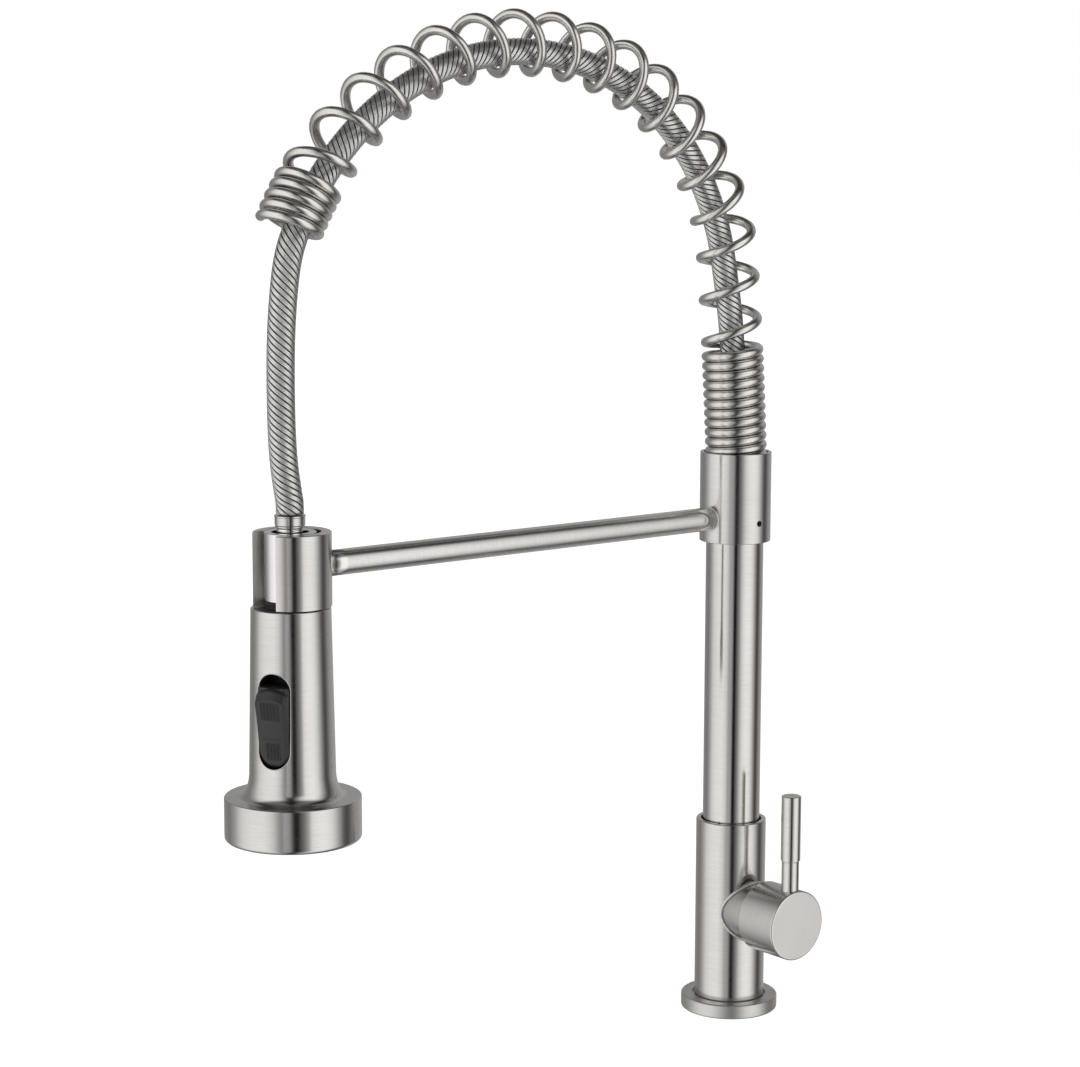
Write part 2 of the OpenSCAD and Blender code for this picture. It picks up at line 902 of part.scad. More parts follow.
module nozzle_plate() {
  color([0.35, 0.35, 0.36])
    at_head()
      difference() {
        rod(disc_r_out - disc_wall - face_gap, disc_bottom + 1.2, core_flange - 1.2);
        ring(disc_r_out - disc_wall - 2.4, 14, plate_top, core_flange);
        rod(plate_wall_r, plate_top, core_flange);
        rod(aerator_r, disc_bottom, plate_top + 1);
        for (p = nozzle_spots()) translate([p[0], p[1], disc_bottom]) cylinder(r = nozzle_r, h = 8, $fn = 24);
      }
}

module nozzles() {
  color([0.25, 0.25, 0.26])
    at_head()
      for (p = nozzle_spots())
        translate([p[0], p[1], disc_bottom - 0.6])
          difference() {
            cylinder(r = nozzle_r, h = plate_top - disc_bottom + 0.6, $fn = 24);
            translate([0, 0, -1]) cylinder(r = 0.5, h = 12, $fn = 16);
          }
}

module aerator() {
  color(white_plastic)
    at_head()
      difference() {
        rod(aerator_r, disc_bottom + 0.4, plate_top + 4);
        rod(aerator_r - 1.4, disc_bottom + 2.4, plate_top + 5);
        for (a = [0:60:300], q = [2.4, 5.6])
          rotate([0, 0, a + q * 10]) translate([q, 0, disc_bottom - 1]) cylinder(r = 0.7, h = 8, $fn = 16);
      }
}

module face_seal() {
  color(black)
    at_head()
      ring(disc_r_out - disc_wall - 0.6, disc_r_out - disc_wall - 2.2, core_flange - 1.2, core_flange);
}

deck_flange();
base_gasket();
valve_body();
valve_core();
cartridge_sleeve();
port_seals();
cartridge_housing();
fixed_disc();
moving_disc();
cartridge_rotor();
spindle_pin();
cartridge_nut();
spindle();
handle_cap();
lever_rod();
handle_set_screw();
thrust_washer();
guide_bush();
swivel_screw();
swivel_spigot();
swivel_o_rings();
riser_tube();
spout_plug();
collar();
collar_set_screw();
docking_arm();
docking_ring();
arch_spring();
hose_lower_ferrule();
hose_arch();
hose_drop();
hose_ferrule();
hose_stem();
stem_o_ring();
hose_nut();
spray_neck();
neck_seal();
head_shell();
spray_core();
check_valve();
diverter_spool();
rocker_pin();
rocker_button();
nozzle_plate();
nozzles();
aerator();
face_seal();
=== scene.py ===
"""Looks of the pull-down kitchen faucet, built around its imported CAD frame.

Sizes here are in millimetres, and mesh coordinates in metres. s is the distance from the post towards the
docking ring, which is -Y, and z is the height above the deck.
"""

import json
import math

import bpy
import numpy as np
from mathutils import Matrix, Vector


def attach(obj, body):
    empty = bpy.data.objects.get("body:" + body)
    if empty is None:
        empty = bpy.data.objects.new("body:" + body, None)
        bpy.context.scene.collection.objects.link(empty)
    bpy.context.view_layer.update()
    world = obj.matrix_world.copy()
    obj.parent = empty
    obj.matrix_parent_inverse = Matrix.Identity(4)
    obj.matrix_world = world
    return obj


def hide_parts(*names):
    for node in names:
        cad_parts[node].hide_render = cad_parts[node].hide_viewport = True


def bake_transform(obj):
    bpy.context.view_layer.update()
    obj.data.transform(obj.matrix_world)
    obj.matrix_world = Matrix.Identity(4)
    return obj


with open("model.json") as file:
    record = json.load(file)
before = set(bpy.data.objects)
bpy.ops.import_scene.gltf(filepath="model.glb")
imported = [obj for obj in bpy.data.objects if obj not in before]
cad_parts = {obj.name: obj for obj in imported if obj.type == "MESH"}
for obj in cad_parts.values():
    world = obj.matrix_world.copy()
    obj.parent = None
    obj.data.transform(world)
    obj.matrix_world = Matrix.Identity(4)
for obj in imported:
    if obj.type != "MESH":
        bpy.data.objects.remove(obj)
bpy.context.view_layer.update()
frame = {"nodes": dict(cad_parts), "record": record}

MM = 0.001
TURN = 2 * math.pi

# ---------- sizes repeated from the CAD ----------

HEAD_S = 258
RING_S = 257
HANDLE_Z = 52
BODY_R = 17.2
CORE_R = 14.85
BODY_TOP = 96.5
SLEEVE_R = 14.2
SLEEVE_BORE = 12.6
SLEEVE_END = 26
RISER_R = 14
COLLAR_R = 17.3
ARM_Z = 247.1
ARM_R = 5.7
RING_R = 17
RING_BORE_R = 12.5
RING_SLOT = 18
RING_LOW = 230.5
RING_TOP = 262.9
BUTTON_ANGLE = math.radians(30)
SLOT_W = 15
SLOT_LOW = 162.4
SLOT_HIGH = 204
FLANGE_R = 23.8
FLANGE_H = 7
RISER_LOW = 84.05
RISER_TOP = 268
COLLAR_LOW = 235.4
COLLAR_TOP = 279
FERRULE_TOP = 270
NECK_TOP = 262.9
NECK_LOW = 233.4
SHELL_TOP = 230.2
ARCH_START = (-0.25, 274.4)
ARCH_LEAN = 2.9
ARCH_ARCS = [(1850, 3.1), (73, 15), (120, 45), (138, 40), (140, 48.6)]
CLOSE_PITCH = 4.62
POST_TURNS = 12
OPEN_TURNS = 17
END_TURNS = 5
COIL_R = 12.8
WIRE_R = 2.25
HOSE_R = 6.1
HOSE_START_Z = 299
HOSE_LOW = 3.8
HOSE_LOWERS = 60
DROP_POINTS = [
    (256, 384.5), (258.3, 376), (260.2, 362), (261.5, 345),
    (261.9, 325), (261.6, 305), (260.6, 291), (259, 281), (258.1, 275.5), (258, 270.5),
]

# ---------- small helpers ----------


def unit(v):
    return v / np.linalg.norm(v, axis=-1, keepdims=True)


def smoothstep(x):
    x = np.clip(x, 0, 1)
    return x * x * (3 - 2 * x)


def at(x=0.0, y=0.0, z=0.0):
    return Matrix.Translation((x * MM, y * MM, z * MM))


def box(x, y, z):
    """Points and faces of a block between pairs of x, y and z."""
    points = [(a, b, c) for a in x for b in y for c in z]
    faces = [(0, 1, 3, 2), (4, 6, 7, 5), (0, 4, 5, 1), (2, 3, 7, 6), (0, 2, 6, 4), (1, 5, 7, 3)]
    return points, faces


UP = Matrix.Identity(4)
HEAD = at(0, -HEAD_S, 0)
BUTTON = HEAD @ Matrix.Rotation(BUTTON_ANGLE, 4, "Z")
ALONG_X = at(0, 0, HANDLE_Z) @ Matrix.Rotation(math.radians(90), 4, "Y")


def build(name, points, faces, material, place=UP):
    """A smooth mesh object from points in millimetres."""
    mesh = bpy.data.meshes.new(name)
    coords = np.asarray(points, float) * MM
    mesh.from_pydata(coords.tolist(), [], [list(f) for f in faces])
    mesh.transform(place)
    mesh.polygons.foreach_set("use_smooth", np.ones(len(mesh.polygons), bool))
    mesh.materials.append(material)
    mesh.update()
    obj = bpy.data.objects.new(name, mesh)
    bpy.context.scene.collection.objects.link(obj)
    return obj


def tube_faces(rings, sides, first=0, closed_path=False, caps=True):
    """Faces of a tube made of rings with the same number of points, wound outwards."""
    faces = []
    count = rings if closed_path else rings - 1
    for i in range(count):
        a, b = first + i * sides, first + ((i + 1) % rings) * sides
        for k in range(sides):
            m = (k + 1) % sides
            faces.append((a + k, a + m, b + m, b + k))
    if caps and not closed_path:
        faces.append(tuple(first + k for k in reversed(range(sides))))
        faces.append(tuple(first + (rings - 1) * sides + k for k in range(sides)))
    return faces


def ring_points(line, along, across, radius, sides):
    """Rings of points round a line, from directions along it and beside it."""
    e = unit(across - (across * along).sum(1, keepdims=True) * along)
    f = np.cross(along, e)
    w = TURN * np.arange(sides) / sides
    r = np.broadcast_to(np.asarray(radius, float), (len(line),))[:, None, None]
    round_it = np.cos(w)[None, :, None] * e[:, None] + np.sin(w)[None, :, None] * f[:, None]
    return (line[:, None] + r * round_it).reshape(-1, 3)


def sweep_points(line, across, radius, sides):
    """Rings of points round an open line; across is a direction beside the line at each point."""
    line, across = np.asarray(line, float), np.asarray(across, float)
    return ring_points(line, unit(np.gradient(line, axis=0)), across, radius, sides)


def joined(name, parts, material):
    """One mesh object from several (points, faces) parts in millimetres."""
    points, faces, first = [], [], 0
    for p, f in parts:
        points.append(np.asarray(p, float))
        faces += [tuple(first + k for k in face) for face in f]
        first += len(p)
    return build(name, np.concatenate(points), faces, material)


# ---------- turned pieces ----------

SMOOTH = -1


def outline(corners, closed):
    """Points and segment normals of a turned profile.

    corners are (radius, height, fillet), counter-clockwise.
    SMOOTH in place of a fillet marks a point on a curve.
    """
    n = len(corners)
    points, normals = [], []
    for i, (r, h, fillet) in enumerate(corners):
        here = np.array([r, h], float)
        ends = not closed and i in (0, n - 1)
        if ends or fillet == 0 or fillet == SMOOTH:
            points.append(here)
            normals.append(None)
            continue
        before = unit(here - np.array(corners[i - 1][:2], float))
        after = unit(np.array(corners[(i + 1) % n][:2], float) - here)
        turn = math.atan2(before[0] * after[1] - before[1] * after[0], before @ after)
        reach = fillet * abs(math.tan(turn / 2))
        points.append(here - before * reach)
        normals.append((before, turn, fillet))
    path, segments, on_curve = [], [], []

    def add(point, normal_a, normal_b):
        if path:
            segments.append([len(path) - 1, len(path), normal_a, normal_b])
        path.append(point)

    def side(d):
        return np.array([d[1], -d[0]])

    for i in range(n):
        enter = points[i]
        if path:
            flat = side(unit(enter - path[-1]))
            add(enter, flat, flat)
        else:
            path.append(enter)
        if corners[i][2] == SMOOTH:
            on_curve.append(len(path) - 1)
        if normals[i]:
            before, turn, fillet = normals[i]
            bulge = math.copysign(1, turn)
            n0 = side(before)
            centre = enter - bulge * fillet * n0
            steps = max(3, round(abs(math.degrees(turn)) / 15))
            quarter = np.array([-n0[1], n0[0]])
            last = n0
            for j in range(1, steps + 1):
                w = turn * j / steps
                nj = math.cos(w) * n0 + math.sin(w) * quarter
                add(centre + bulge * fillet * nj, last, nj)
                last = nj
    if closed:
        flat = side(unit(path[0] - path[-1]))
        segments.append([len(path) - 1, 0, flat, flat])
    for i in on_curve:
        mean = unit(segments[i - 1][3] + segments[i][2])
        segments[i - 1][3] = mean
        segments[i][2] = mean
    return np.array(path), segments


def turned(name, corners, material, place=UP, closed=True, sides=160, cuts=()):
    """A piece turned about its own Z axis, then cut by other objects."""
    path, segments = outline(corners, closed)
    w = TURN * np.arange(sides) / sides
    points, rings = [], []
    for r, h in path:
        if r < 1e-6:
            rings.append([len(points)] * sides)
            points.append((0, 0, h))
        else:
            rings.append(list(range(len(points), len(points) + sides)))
            points += list(zip(r * np.cos(w), r * np.sin(w), np.full(sides, h)))
    faces = []
    for a, b, _, _ in segments:
        for k in range(sides):
            m = (k + 1) % sides
            face = [rings[a][k], rings[a][m], rings[b][m], rings[b][k]]
            face = [v for j, v in enumerate(face) if v not in face[:j]]
            if len(face) > 2:
                faces.append(face)
    obj = build(name, points, faces, material, place)
    for cutter in cuts:
        cut(obj, cutter)
    turned_normals(obj, path, segments, place)
    return obj


def cut(obj, cutter):
    """Takes cutter's shape out of obj, and removes cutter."""
    boolean = obj.modifiers.new("cut", "BOOLEAN")
    boolean.operation = "DIFFERENCE"
    boolean.solver = "EXACT"
    boolean.object = cutter
    depsgraph = bpy.context.evaluated_depsgraph_get()
    mesh = bpy.data.meshes.new_from_object(obj.evaluated_get(depsgraph))
    obj.modifiers.clear()
    material = obj.data.materials[0]
    obj.data = mesh
    mesh.materials.clear()
    mesh.materials.append(material)
    mesh.polygons.foreach_set("material_index", np.zeros(len(mesh.polygons), np.int32))
    mesh.polygons.foreach_set("use_smooth", np.ones(len(mesh.polygons), bool))
    bpy.data.objects.remove(cutter)


def turned_normals(obj, path, segments, place):
    """Gives each face corner the profile's own normal, where the face lies along the profile."""
    mesh = obj.data
    back = np.array(place.inverted())
    co = np.empty(len(mesh.vertices) * 3)
    mesh.vertices.foreach_get("co", co)
    local = co.reshape(-1, 3) @ back[:3, :3].T + back[:3, 3]
    face_n = np.empty(len(mesh.polygons) * 3)
    mesh.polygons.foreach_get("normal", face_n)
    face_n = face_n.reshape(-1, 3) @ back[:3, :3].T
    corner_vertex = np.empty(len(mesh.loops), np.int32)
    mesh.loops.foreach_get("vertex_index", corner_vertex)
    sizes = np.empty(len(mesh.polygons), np.int32)
    mesh.polygons.foreach_get("loop_total", sizes)
    owner = np.repeat(np.arange(len(sizes)), sizes)
    p = local[corner_vertex] / MM
    radius = np.hypot(p[:, 0], p[:, 1])
    face_at = face_n[owner]
    off_axis = radius[:, None] > 1e-4
    angle_xy = np.where(off_axis, p[:, :2] / np.maximum(radius, 1e-4)[:, None], face_at[:, :2])
    rh = np.stack([radius, p[:, 2]], 1)
    best = np.full(len(p), 0.6)
    result = face_at.copy()
    for a, b, na, nb in segments:
        d = path[b] - path[a]
        t = np.clip(((rh - path[a]) @ d) / max(d @ d, 1e-12), 0, 1)
        near = np.linalg.norm(rh - path[a] - t[:, None] * d, axis=1) < 0.02
        n2 = unit(na + t[:, None] * (nb - na))
        n3 = np.column_stack([angle_xy * n2[:, :1], n2[:, 1]])
        match = (n3 * face_at).sum(1)
        take = near & (match > best)
        best[take] = match[take]
        result[take] = n3[take]
    forward = np.array(place)[:3, :3]
    mesh.normals_split_custom_set((unit(result) @ forward.T).tolist())


def rod_cutter(radius, start, end, sides=64):
    """A plain cylinder between two points in millimetres, to cut with."""
    start, end = np.array(start, float), np.array(end, float)
    beside = np.array([0, 0, 1.0]) if abs(unit(end - start)[2]) < 0.9 else np.array([1.0, 0, 0])
    points = sweep_points([start, end], [beside, beside], radius, sides)
    return build("cutter", points, tube_faces(2, sides), STEEL)


def bead(name, loop, radius, material, sides=10):
    """A thin closed bead of metal along a loop of points."""
    loop = np.asarray(loop, float)
    along = unit(np.roll(loop, -1, 0) - np.roll(loop, 1, 0))
    points = ring_points(loop, along, loop - loop.mean(0), radius, sides)
    return build(name, points, tube_faces(len(loop), sides, closed_path=True), material)


# ---------- materials ----------


def new_material(name, colour, metallic, roughness):
    material = bpy.data.materials.new(name)
    material.use_nodes = True
    tree = material.node_tree
    shader = tree.nodes["Principled BSDF"]
    shader.inputs["Base Color"].default_value = (*colour, 1)
    shader.inputs["Metallic"].default_value = metallic
    shader.inputs["Roughness"].default_value = roughness
    return material, tree, shader


def noise(tree, scale, stretch=(1, 1, 1), detail=3.0):
    """Noise with scale features to a metre, stretched along the grain."""
    place = tree.nodes.new("ShaderNodeTexCoord")
    mapping = tree.nodes.new("ShaderNodeMapping")
    mapping.inputs["Scale"].default_value = stretch
    texture = tree.nodes.new("ShaderNodeTexNoise")
    texture.inputs["Scale"].default_value = scale
    texture.inputs["Detail"].default_value = detail
    tree.links.new(place.outputs["Object"], mapping.inputs["Vector"])
    tree.links.new(mapping.outputs["Vector"], texture.inputs["Vector"])
    return texture.outputs["Fac"]


def ranged(tree, value, low, high, source=(0.3, 0.7), eased=False):
    node = tree.nodes.new("ShaderNodeMapRange")
    if eased:
        node.interpolation_type = "SMOOTHSTEP"
    node.inputs["From Min"].default_value = source[0]
    node.inputs["From Max"].default_value = source[1]
    node.inputs["To Min"].default_value = low
    node.inputs["To Max"].default_value = high
    tree.links.new(value, node.inputs["Value"])
    return node.outputs["Result"]


def tinted(tree, shader, value, dark, light):
    mix = tree.nodes.new("ShaderNodeMix")
    mix.data_type = "RGBA"
    mix.inputs[6].default_value = (*dark, 1)
    mix.inputs[7].default_value = (*light, 1)
    tree.links.new(value, mix.inputs[0])
    tree.links.new(mix.outputs[2], shader.inputs["Base Color"])


def bumped(tree, shader, value, distance):
    bump = tree.nodes.new("ShaderNodeBump")
    bump.inputs["Distance"].default_value = distance * MM
    bump.inputs["Strength"].default_value = 1.0
    tree.links.new(value, bump.inputs["Height"])
    tree.links.new(bump.outputs["Normal"], shader.inputs["Normal"])


def metal(name, dark, light, rough, grain, grain_scale, bump=0.004):
    """Metal with fine grain, soft blotches and small changes of gloss."""
    mean = [(a + b) / 2 for a, b in zip(dark, light)]
    material, tree, shader = new_material(name, mean, 1.0, sum(rough) / 2)
    streaks = noise(tree, grain_scale, grain, 4)
    blotches = noise(tree, 45, (1, 1, 1), 2)
    both = tree.nodes.new("ShaderNodeMath")
    both.operation = "MULTIPLY_ADD"
    both.inputs[1].default_value = 0.7
    tree.links.new(streaks, both.inputs[0])
    softened = ranged(tree, blotches, 0.0, 0.3, (0.0, 1.0))
    tree.links.new(softened, both.inputs[2])
    tinted(tree, shader, ranged(tree, both.outputs[0], 0, 1, (0.3, 0.7)), dark, light)
    tree.links.new(ranged(tree, both.outputs[0], rough[1], rough[0]), shader.inputs["Roughness"])
    bumped(tree, shader, streaks, bump)
    return material


def moulded(name, dark, light, rough, size=1500, bump=0.02):
    """Plastic, rubber or ceramic with a fine skin."""
    mean = [(a + b) / 2 for a, b in zip(dark, light)]
    material, tree, shader = new_material(name, mean, 0.0, sum(rough) / 2)
    skin = noise(tree, size, (1, 1, 1), 3)
    tinted(tree, shader, ranged(tree, skin, 0, 1), dark, light)
    tree.links.new(ranged(tree, skin, rough[0], rough[1]), shader.inputs["Roughness"])
    bumped(tree, shader, skin, bump)
    return material


NICKEL_DARK, NICKEL_LIGHT = (0.595, 0.576, 0.552), (0.672, 0.654, 0.63)
SATIN = (0.13, 0.21)
GRAIN_ROUND_Z = (0.02, 0.02, 1)
GRAIN_ALONG_Y = (0.02, 1, 0.02)
GRAIN_ROUND_X = (1, 0.04, 0.04)
EVEN = (1, 1, 1)
STEEL = metal("brushed_upright", NICKEL_DARK, NICKEL_LIGHT, SATIN, GRAIN_ROUND_Z, 5200, 0.0008)
STEEL_Y = metal(
    "brushed_arm", (0.74, 0.72, 0.69), (0.84, 0.82, 0.79), (0.18, 0.28), GRAIN_ALONG_Y, 5200, 0.0008
)
STEEL_X = metal("brushed_handle", NICKEL_DARK, NICKEL_LIGHT, (0.2, 0.3), GRAIN_ROUND_X, 5200, 0.0006)
# Painted shade: the sleeve is the body's brushed nickel given a darker colour, for the cap's shadow and the
# dark body and cap it mirrors
SHADED_SLEEVE = metal(
    "brushed_sleeve_painted_shade", (0.4, 0.39, 0.375), (0.5, 0.49, 0.47), (0.26, 0.36), GRAIN_ROUND_X, 5200, 0.0006
)
CUT = metal("sawn_edge", (0.7, 0.69, 0.67), (0.8, 0.79, 0.77), (0.6, 0.75), EVEN, 2600, 0.002)
SOFT = metal("satin_flange", NICKEL_DARK, NICKEL_LIGHT, (0.34, 0.46), GRAIN_ROUND_Z, 5200, 0.0008)
BLASTED = metal("blasted_face", (0.81, 0.79, 0.765), (0.92, 0.9, 0.875), (0.22, 0.3), EVEN, 2600, 0.001)
TUBE = metal("polished_riser", NICKEL_DARK, NICKEL_LIGHT, (0.1, 0.17), GRAIN_ROUND_Z, 5200, 0.0005)
WIRE = metal("satin_wire", (0.63, 0.605, 0.575), (0.75, 0.73, 0.7), (0.16, 0.27), EVEN, 1800, 0.004)
POLISHED = metal(
    "polished_steel", (0.74, 0.74, 0.74), (0.8, 0.8, 0.8), (0.05, 0.1), GRAIN_ROUND_Z, 2400, 0.001
)
# The weld bead's shape is real; its colour, lighter than the nickel round it, is a painted highlight that
# makes it show as a light line
WELD_HIGHLIGHT = metal("weld_bead_painted_highlight", (0.74, 0.73, 0.71), (0.86, 0.85, 0.83), (0.4, 0.55), EVEN, 1200, 0.01)
PLAIN = metal("machined_steel", (0.46, 0.46, 0.47), (0.58, 0.58, 0.59), (0.22, 0.34), GRAIN_ROUND_Z, 2000)
BLACK_STEEL = metal("black_oxide", (0.02, 0.02, 0.02), (0.05, 0.05, 0.05), (0.35, 0.5), EVEN, 1500)
BRASS = metal("machined_brass", (0.62, 0.46, 0.2), (0.75, 0.58, 0.3), (0.2, 0.32), GRAIN_ROUND_Z, 2000)
BRAID = metal("braid_wire", (0.62, 0.62, 0.61), (0.8, 0.795, 0.785), (0.24, 0.36), EVEN, 1500, 0.002)
# The liner's dark colour also paints the lower braid ribbons, as painted shade in the gaps between the upper
# ribbons
LINER_AND_GAP_SHADE = moulded("hose_liner_and_painted_gap_shade", (0.1, 0.1, 0.1), (0.15, 0.15, 0.15), (0.5, 0.65))
RUBBER = moulded("black_rubber", (0.008, 0.008, 0.008), (0.018, 0.018, 0.018), (0.55, 0.75), 1200, 0.03)
BLACK = moulded("black_plastic", (0.016, 0.016, 0.017), (0.024, 0.024, 0.025), (0.4, 0.52), 2600, 0.008)
FACE = moulded("face_plastic", (0.09, 0.09, 0.095), (0.13, 0.13, 0.135), (0.4, 0.52), 2200)
NIPPLE = moulded("nozzle_rubber", (0.045, 0.045, 0.05), (0.07, 0.07, 0.075), (0.5, 0.62), 1800)
WHITE = moulded("white_plastic", (0.74, 0.74, 0.72), (0.8, 0.8, 0.78), (0.35, 0.48), 2000)
CERAMIC = moulded("ceramic", (0.82, 0.8, 0.76), (0.87, 0.85, 0.81), (0.12, 0.2), 1600, 0.004)

CAD_MATERIALS = {
    "brushed_nickel": STEEL, "spring_wire": WIRE, "polished_steel": POLISHED, "hose_braid": BRAID,
    "plain_steel": PLAIN, "black_steel": BLACK_STEEL, "brass": BRASS, "black_rubber": RUBBER,
    "black_plastic": BLACK, "face_plastic": FACE, "nozzle_rubber": NIPPLE, "white_plastic": WHITE,
    "ceramic": CERAMIC,
}
for part in frame["record"]["subparts"]:
    node = frame["nodes"][part["node"]]
    node.data.materials.clear()
    node.data.materials.append(CAD_MATERIALS[part["material_slot"]])
    node.data.polygons.foreach_set("material_index", np.zeros(len(node.data.polygons), np.int32))


def fit(obj, body, slot, *nodes):
    """The piece rides on its body and stands for its CAD nodes."""
    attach(obj, body)
    if nodes:
        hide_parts(*nodes)


def repaint(obj, material, wanted):
    """Gives another material to the faces whose centre and normal are wanted."""
    obj.data.materials.append(material)
    index = len(obj.data.materials) - 1
    for face in obj.data.polygons:
        if wanted(face.center, face.normal):
            face.material_index = index


# ---------- camera ----------

CAMERA_AT = (0.9634, -0.8879, 0.4338)
AZIMUTH, PITCH, ROLL = (math.radians(a) for a in (51.494, 8.514, 0.151))
LENS = 90.32


def photo_camera():
    """The scene's camera, looking at the faucet from its handle side."""
    forward = Vector((
        -math.sin(AZIMUTH) * math.cos(PITCH), math.cos(AZIMUTH) * math.cos(PITCH), -math.sin(PITCH)
    ))
    level = Vector((math.cos(AZIMUTH), math.sin(AZIMUTH), 0))
    above = level.cross(forward)
    right = math.cos(ROLL) * level + math.sin(ROLL) * above
    up = math.cos(ROLL) * above - math.sin(ROLL) * level
    data = bpy.data.cameras.new("photo_camera")
    data.lens = LENS
    data.sensor_width = 36
    data.clip_start, data.clip_end = 0.05, 60
    camera = bpy.data.objects.new("photo_camera", data)
    facing = Matrix((right, up, -forward)).transposed().to_4x4()
    camera.matrix_world = Matrix.Translation(CAMERA_AT) @ facing
    bpy.context.scene.collection.objects.link(camera)
    bpy.context.scene.camera = camera


photo_camera()

# ---------- the arch's line ----------


class Arch:
    """The spring's centre line: tangent arcs, given by [s, z] and the heading at a distance u along it."""

    def __init__(self):
        point = np.array(ARCH_START, float)
        heading, start = math.radians(ARCH_LEAN), 0.0
        self.arcs = []
        for radius, angle in ARCH_ARCS:
            turn = math.radians(angle)
            self.arcs.append((start, point, heading, radius))
            ahead = heading + turn
            point = point + radius * np.array(
                [math.cos(heading) - math.cos(ahead), math.sin(ahead) - math.sin(heading)]
            )
            heading, start = ahead, start + radius * turn
        self.length = start

    def at(self, u):
        """[s, z] points and headings at distances u."""
        u = np.atleast_1d(np.asarray(u, float))
        points, headings = np.zeros((len(u), 2)), np.zeros(len(u))
        for start, point, heading, radius in self.arcs:
            on = u >= start - 1e-9
            h = heading + (u[on] - start) / radius
            move = np.stack([np.cos(heading) - np.cos(h), np.sin(h) - np.sin(heading)], 1)
            points[on] = point + radius * move
            headings[on] = h
        return points, headings


arch = Arch()

# ---------- hose ----------


BLUR = 8


def travelled(line):
    """Distance along a line at each of its points."""
    return np.concatenate([[0], np.cumsum(np.linalg.norm(np.diff(line, axis=0), axis=1))])


def evened(line, count):
    """The same [s, z] line with count evenly spaced points, and their distances along it."""
    along = travelled(line)
    even = np.linspace(0, along[-1], count)
    return np.stack([np.interp(even, along, line[:, c]) for c in (0, 1)], 1), even


def hose_line(step):
    """[s, z] points along the hose from its lower ferrule to its upper one, step millimetres apart."""
    u = np.arange(HOSE_START_Z - ARCH_START[1], arch.length, 1.0)
    u = np.append(u, arch.length)
    centre, heading = arch.at(u)
    shift = -HOSE_LOW * smoothstep((u - HOSE_LOWERS) / HOSE_LOWERS)[:, None]
    held = centre + shift * np.stack([-np.cos(heading), np.sin(heading)], 1)
    free = np.array([held[-1], *DROP_POINTS], float)
    padded = np.concatenate([free[:1], free, free[-1:]])
    k = np.linspace(0, 1, 24, endpoint=False)[:, None]
    hanging = []
    for a, b, c, d in zip(padded, padded[1:], padded[2:], padded[3:]):
        hanging.append(0.5 * (
            2 * b + (c - a) * k + (2 * a - 5 * b + 4 * c - d) * k ** 2 + (3 * b - a - 3 * c + d) * k ** 3
        ))
    rough = np.concatenate([held[:-1], *hanging, free[-1:]])
    line, _ = evened(rough, int(travelled(rough)[-1]))
    blur = np.exp(-0.5 * (np.arange(-BLUR, BLUR + 1) / (BLUR / 2)) ** 2)
    blur /= blur.sum()
    soft = np.stack([np.convolve(line[:, c], blur, "valid") for c in (0, 1)], 1)
    line = np.concatenate([line[:BLUR], soft, line[-BLUR:]])
    return evened(line, int(round(travelled(line)[-1] / step)) + 1)


BRAID_PITCH = 28.2
BRAID_STRANDS = 10
BRAID_STEP = 1.25


def braided_hose():
    """A dark liner with two layers of wire ribbons over it, laid opposite ways and woven through each other;
    the lower ribbons wear the liner's dark colour as painted shade between the upper ribbons.
    """
    sz, along = hose_line(BRAID_STEP)
    line = np.stack([np.zeros(len(sz)), -sz[:, 0], sz[:, 1]], 1)
    tangent = unit(np.gradient(line, axis=0))
    e = np.tile([1.0, 0, 0], (len(line), 1))
    f = np.cross(tangent, e)

    def around(angle, radius):
        return line + radius[:, None] * (np.cos(angle)[:, None] * e + np.sin(angle)[:, None] * f)

    def ribbon(angle, radius, half_width, height, lobes, steps):
        """A strip of wires side by side: its top has one lobe for each wire."""
        across = np.linspace(-1, 1, lobes * steps + 1)
        rise = height * np.sqrt(np.clip(1 - ((across * lobes + lobes) % 2 - 1) ** 2, 0, 1))
        rise[[0, -1]] = 0
        width = half_width / math.cos(lay)
        rings = []
        for v, h in zip(across, rise):
            rings.append(around(angle + v * width / HOSE_R, radius + h))
        for v in (0.9, -0.9):
            rings.append(around(angle + v * width / HOSE_R, radius - 0.1))
        sides = len(rings)
        return np.stack(rings, 1).reshape(-1, 3), tube_faces(len(line), sides)

    lay = math.atan(TURN * HOSE_R / BRAID_PITCH)
    wave = np.cos(TURN * along * BRAID_STRANDS / BRAID_PITCH)
    turn = TURN * along / BRAID_PITCH
    inner = np.full(len(line), HOSE_R - 0.66)
    # The liner and the lower ribbons share the liner's dark colour; on the lower ribbons it is painted shade
    under = [(sweep_points(line, e, HOSE_R - 0.7, 16), tube_faces(len(line), 16))]
    parts = []
    for j in range(BRAID_STRANDS):
        start = TURN * j / BRAID_STRANDS
        parts.append(ribbon(start - turn, HOSE_R - 0.3 + 0.04 * wave, 0.93, 0.26, 3, 3))
        under.append(ribbon(start + turn, inner, 0.6, 0.16, 2, 2))
    hose = joined("hose", under + parts, BRAID)
    # Painted shade: the liner and the lower ribbons get the dark liner colour
    hose.data.materials.append(LINER_AND_GAP_SHADE)
    index = np.zeros(len(hose.data.polygons), np.int32)
    index[:sum(len(faces) for _, faces in under)] = 1
    hose.data.polygons.foreach_set("material_index", index)
    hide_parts("hose_arch", "hose_drop")
    return hose, along[-1]


hose, hose_length = braided_hose()

# The hose is held by the spring down to here, and hangs free from here to its ferrule
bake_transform(hose)

# ---------- spring ----------

COIL_STEPS = 40
WIRE_SIDES = 14
STOPS_SHORT = 0.17


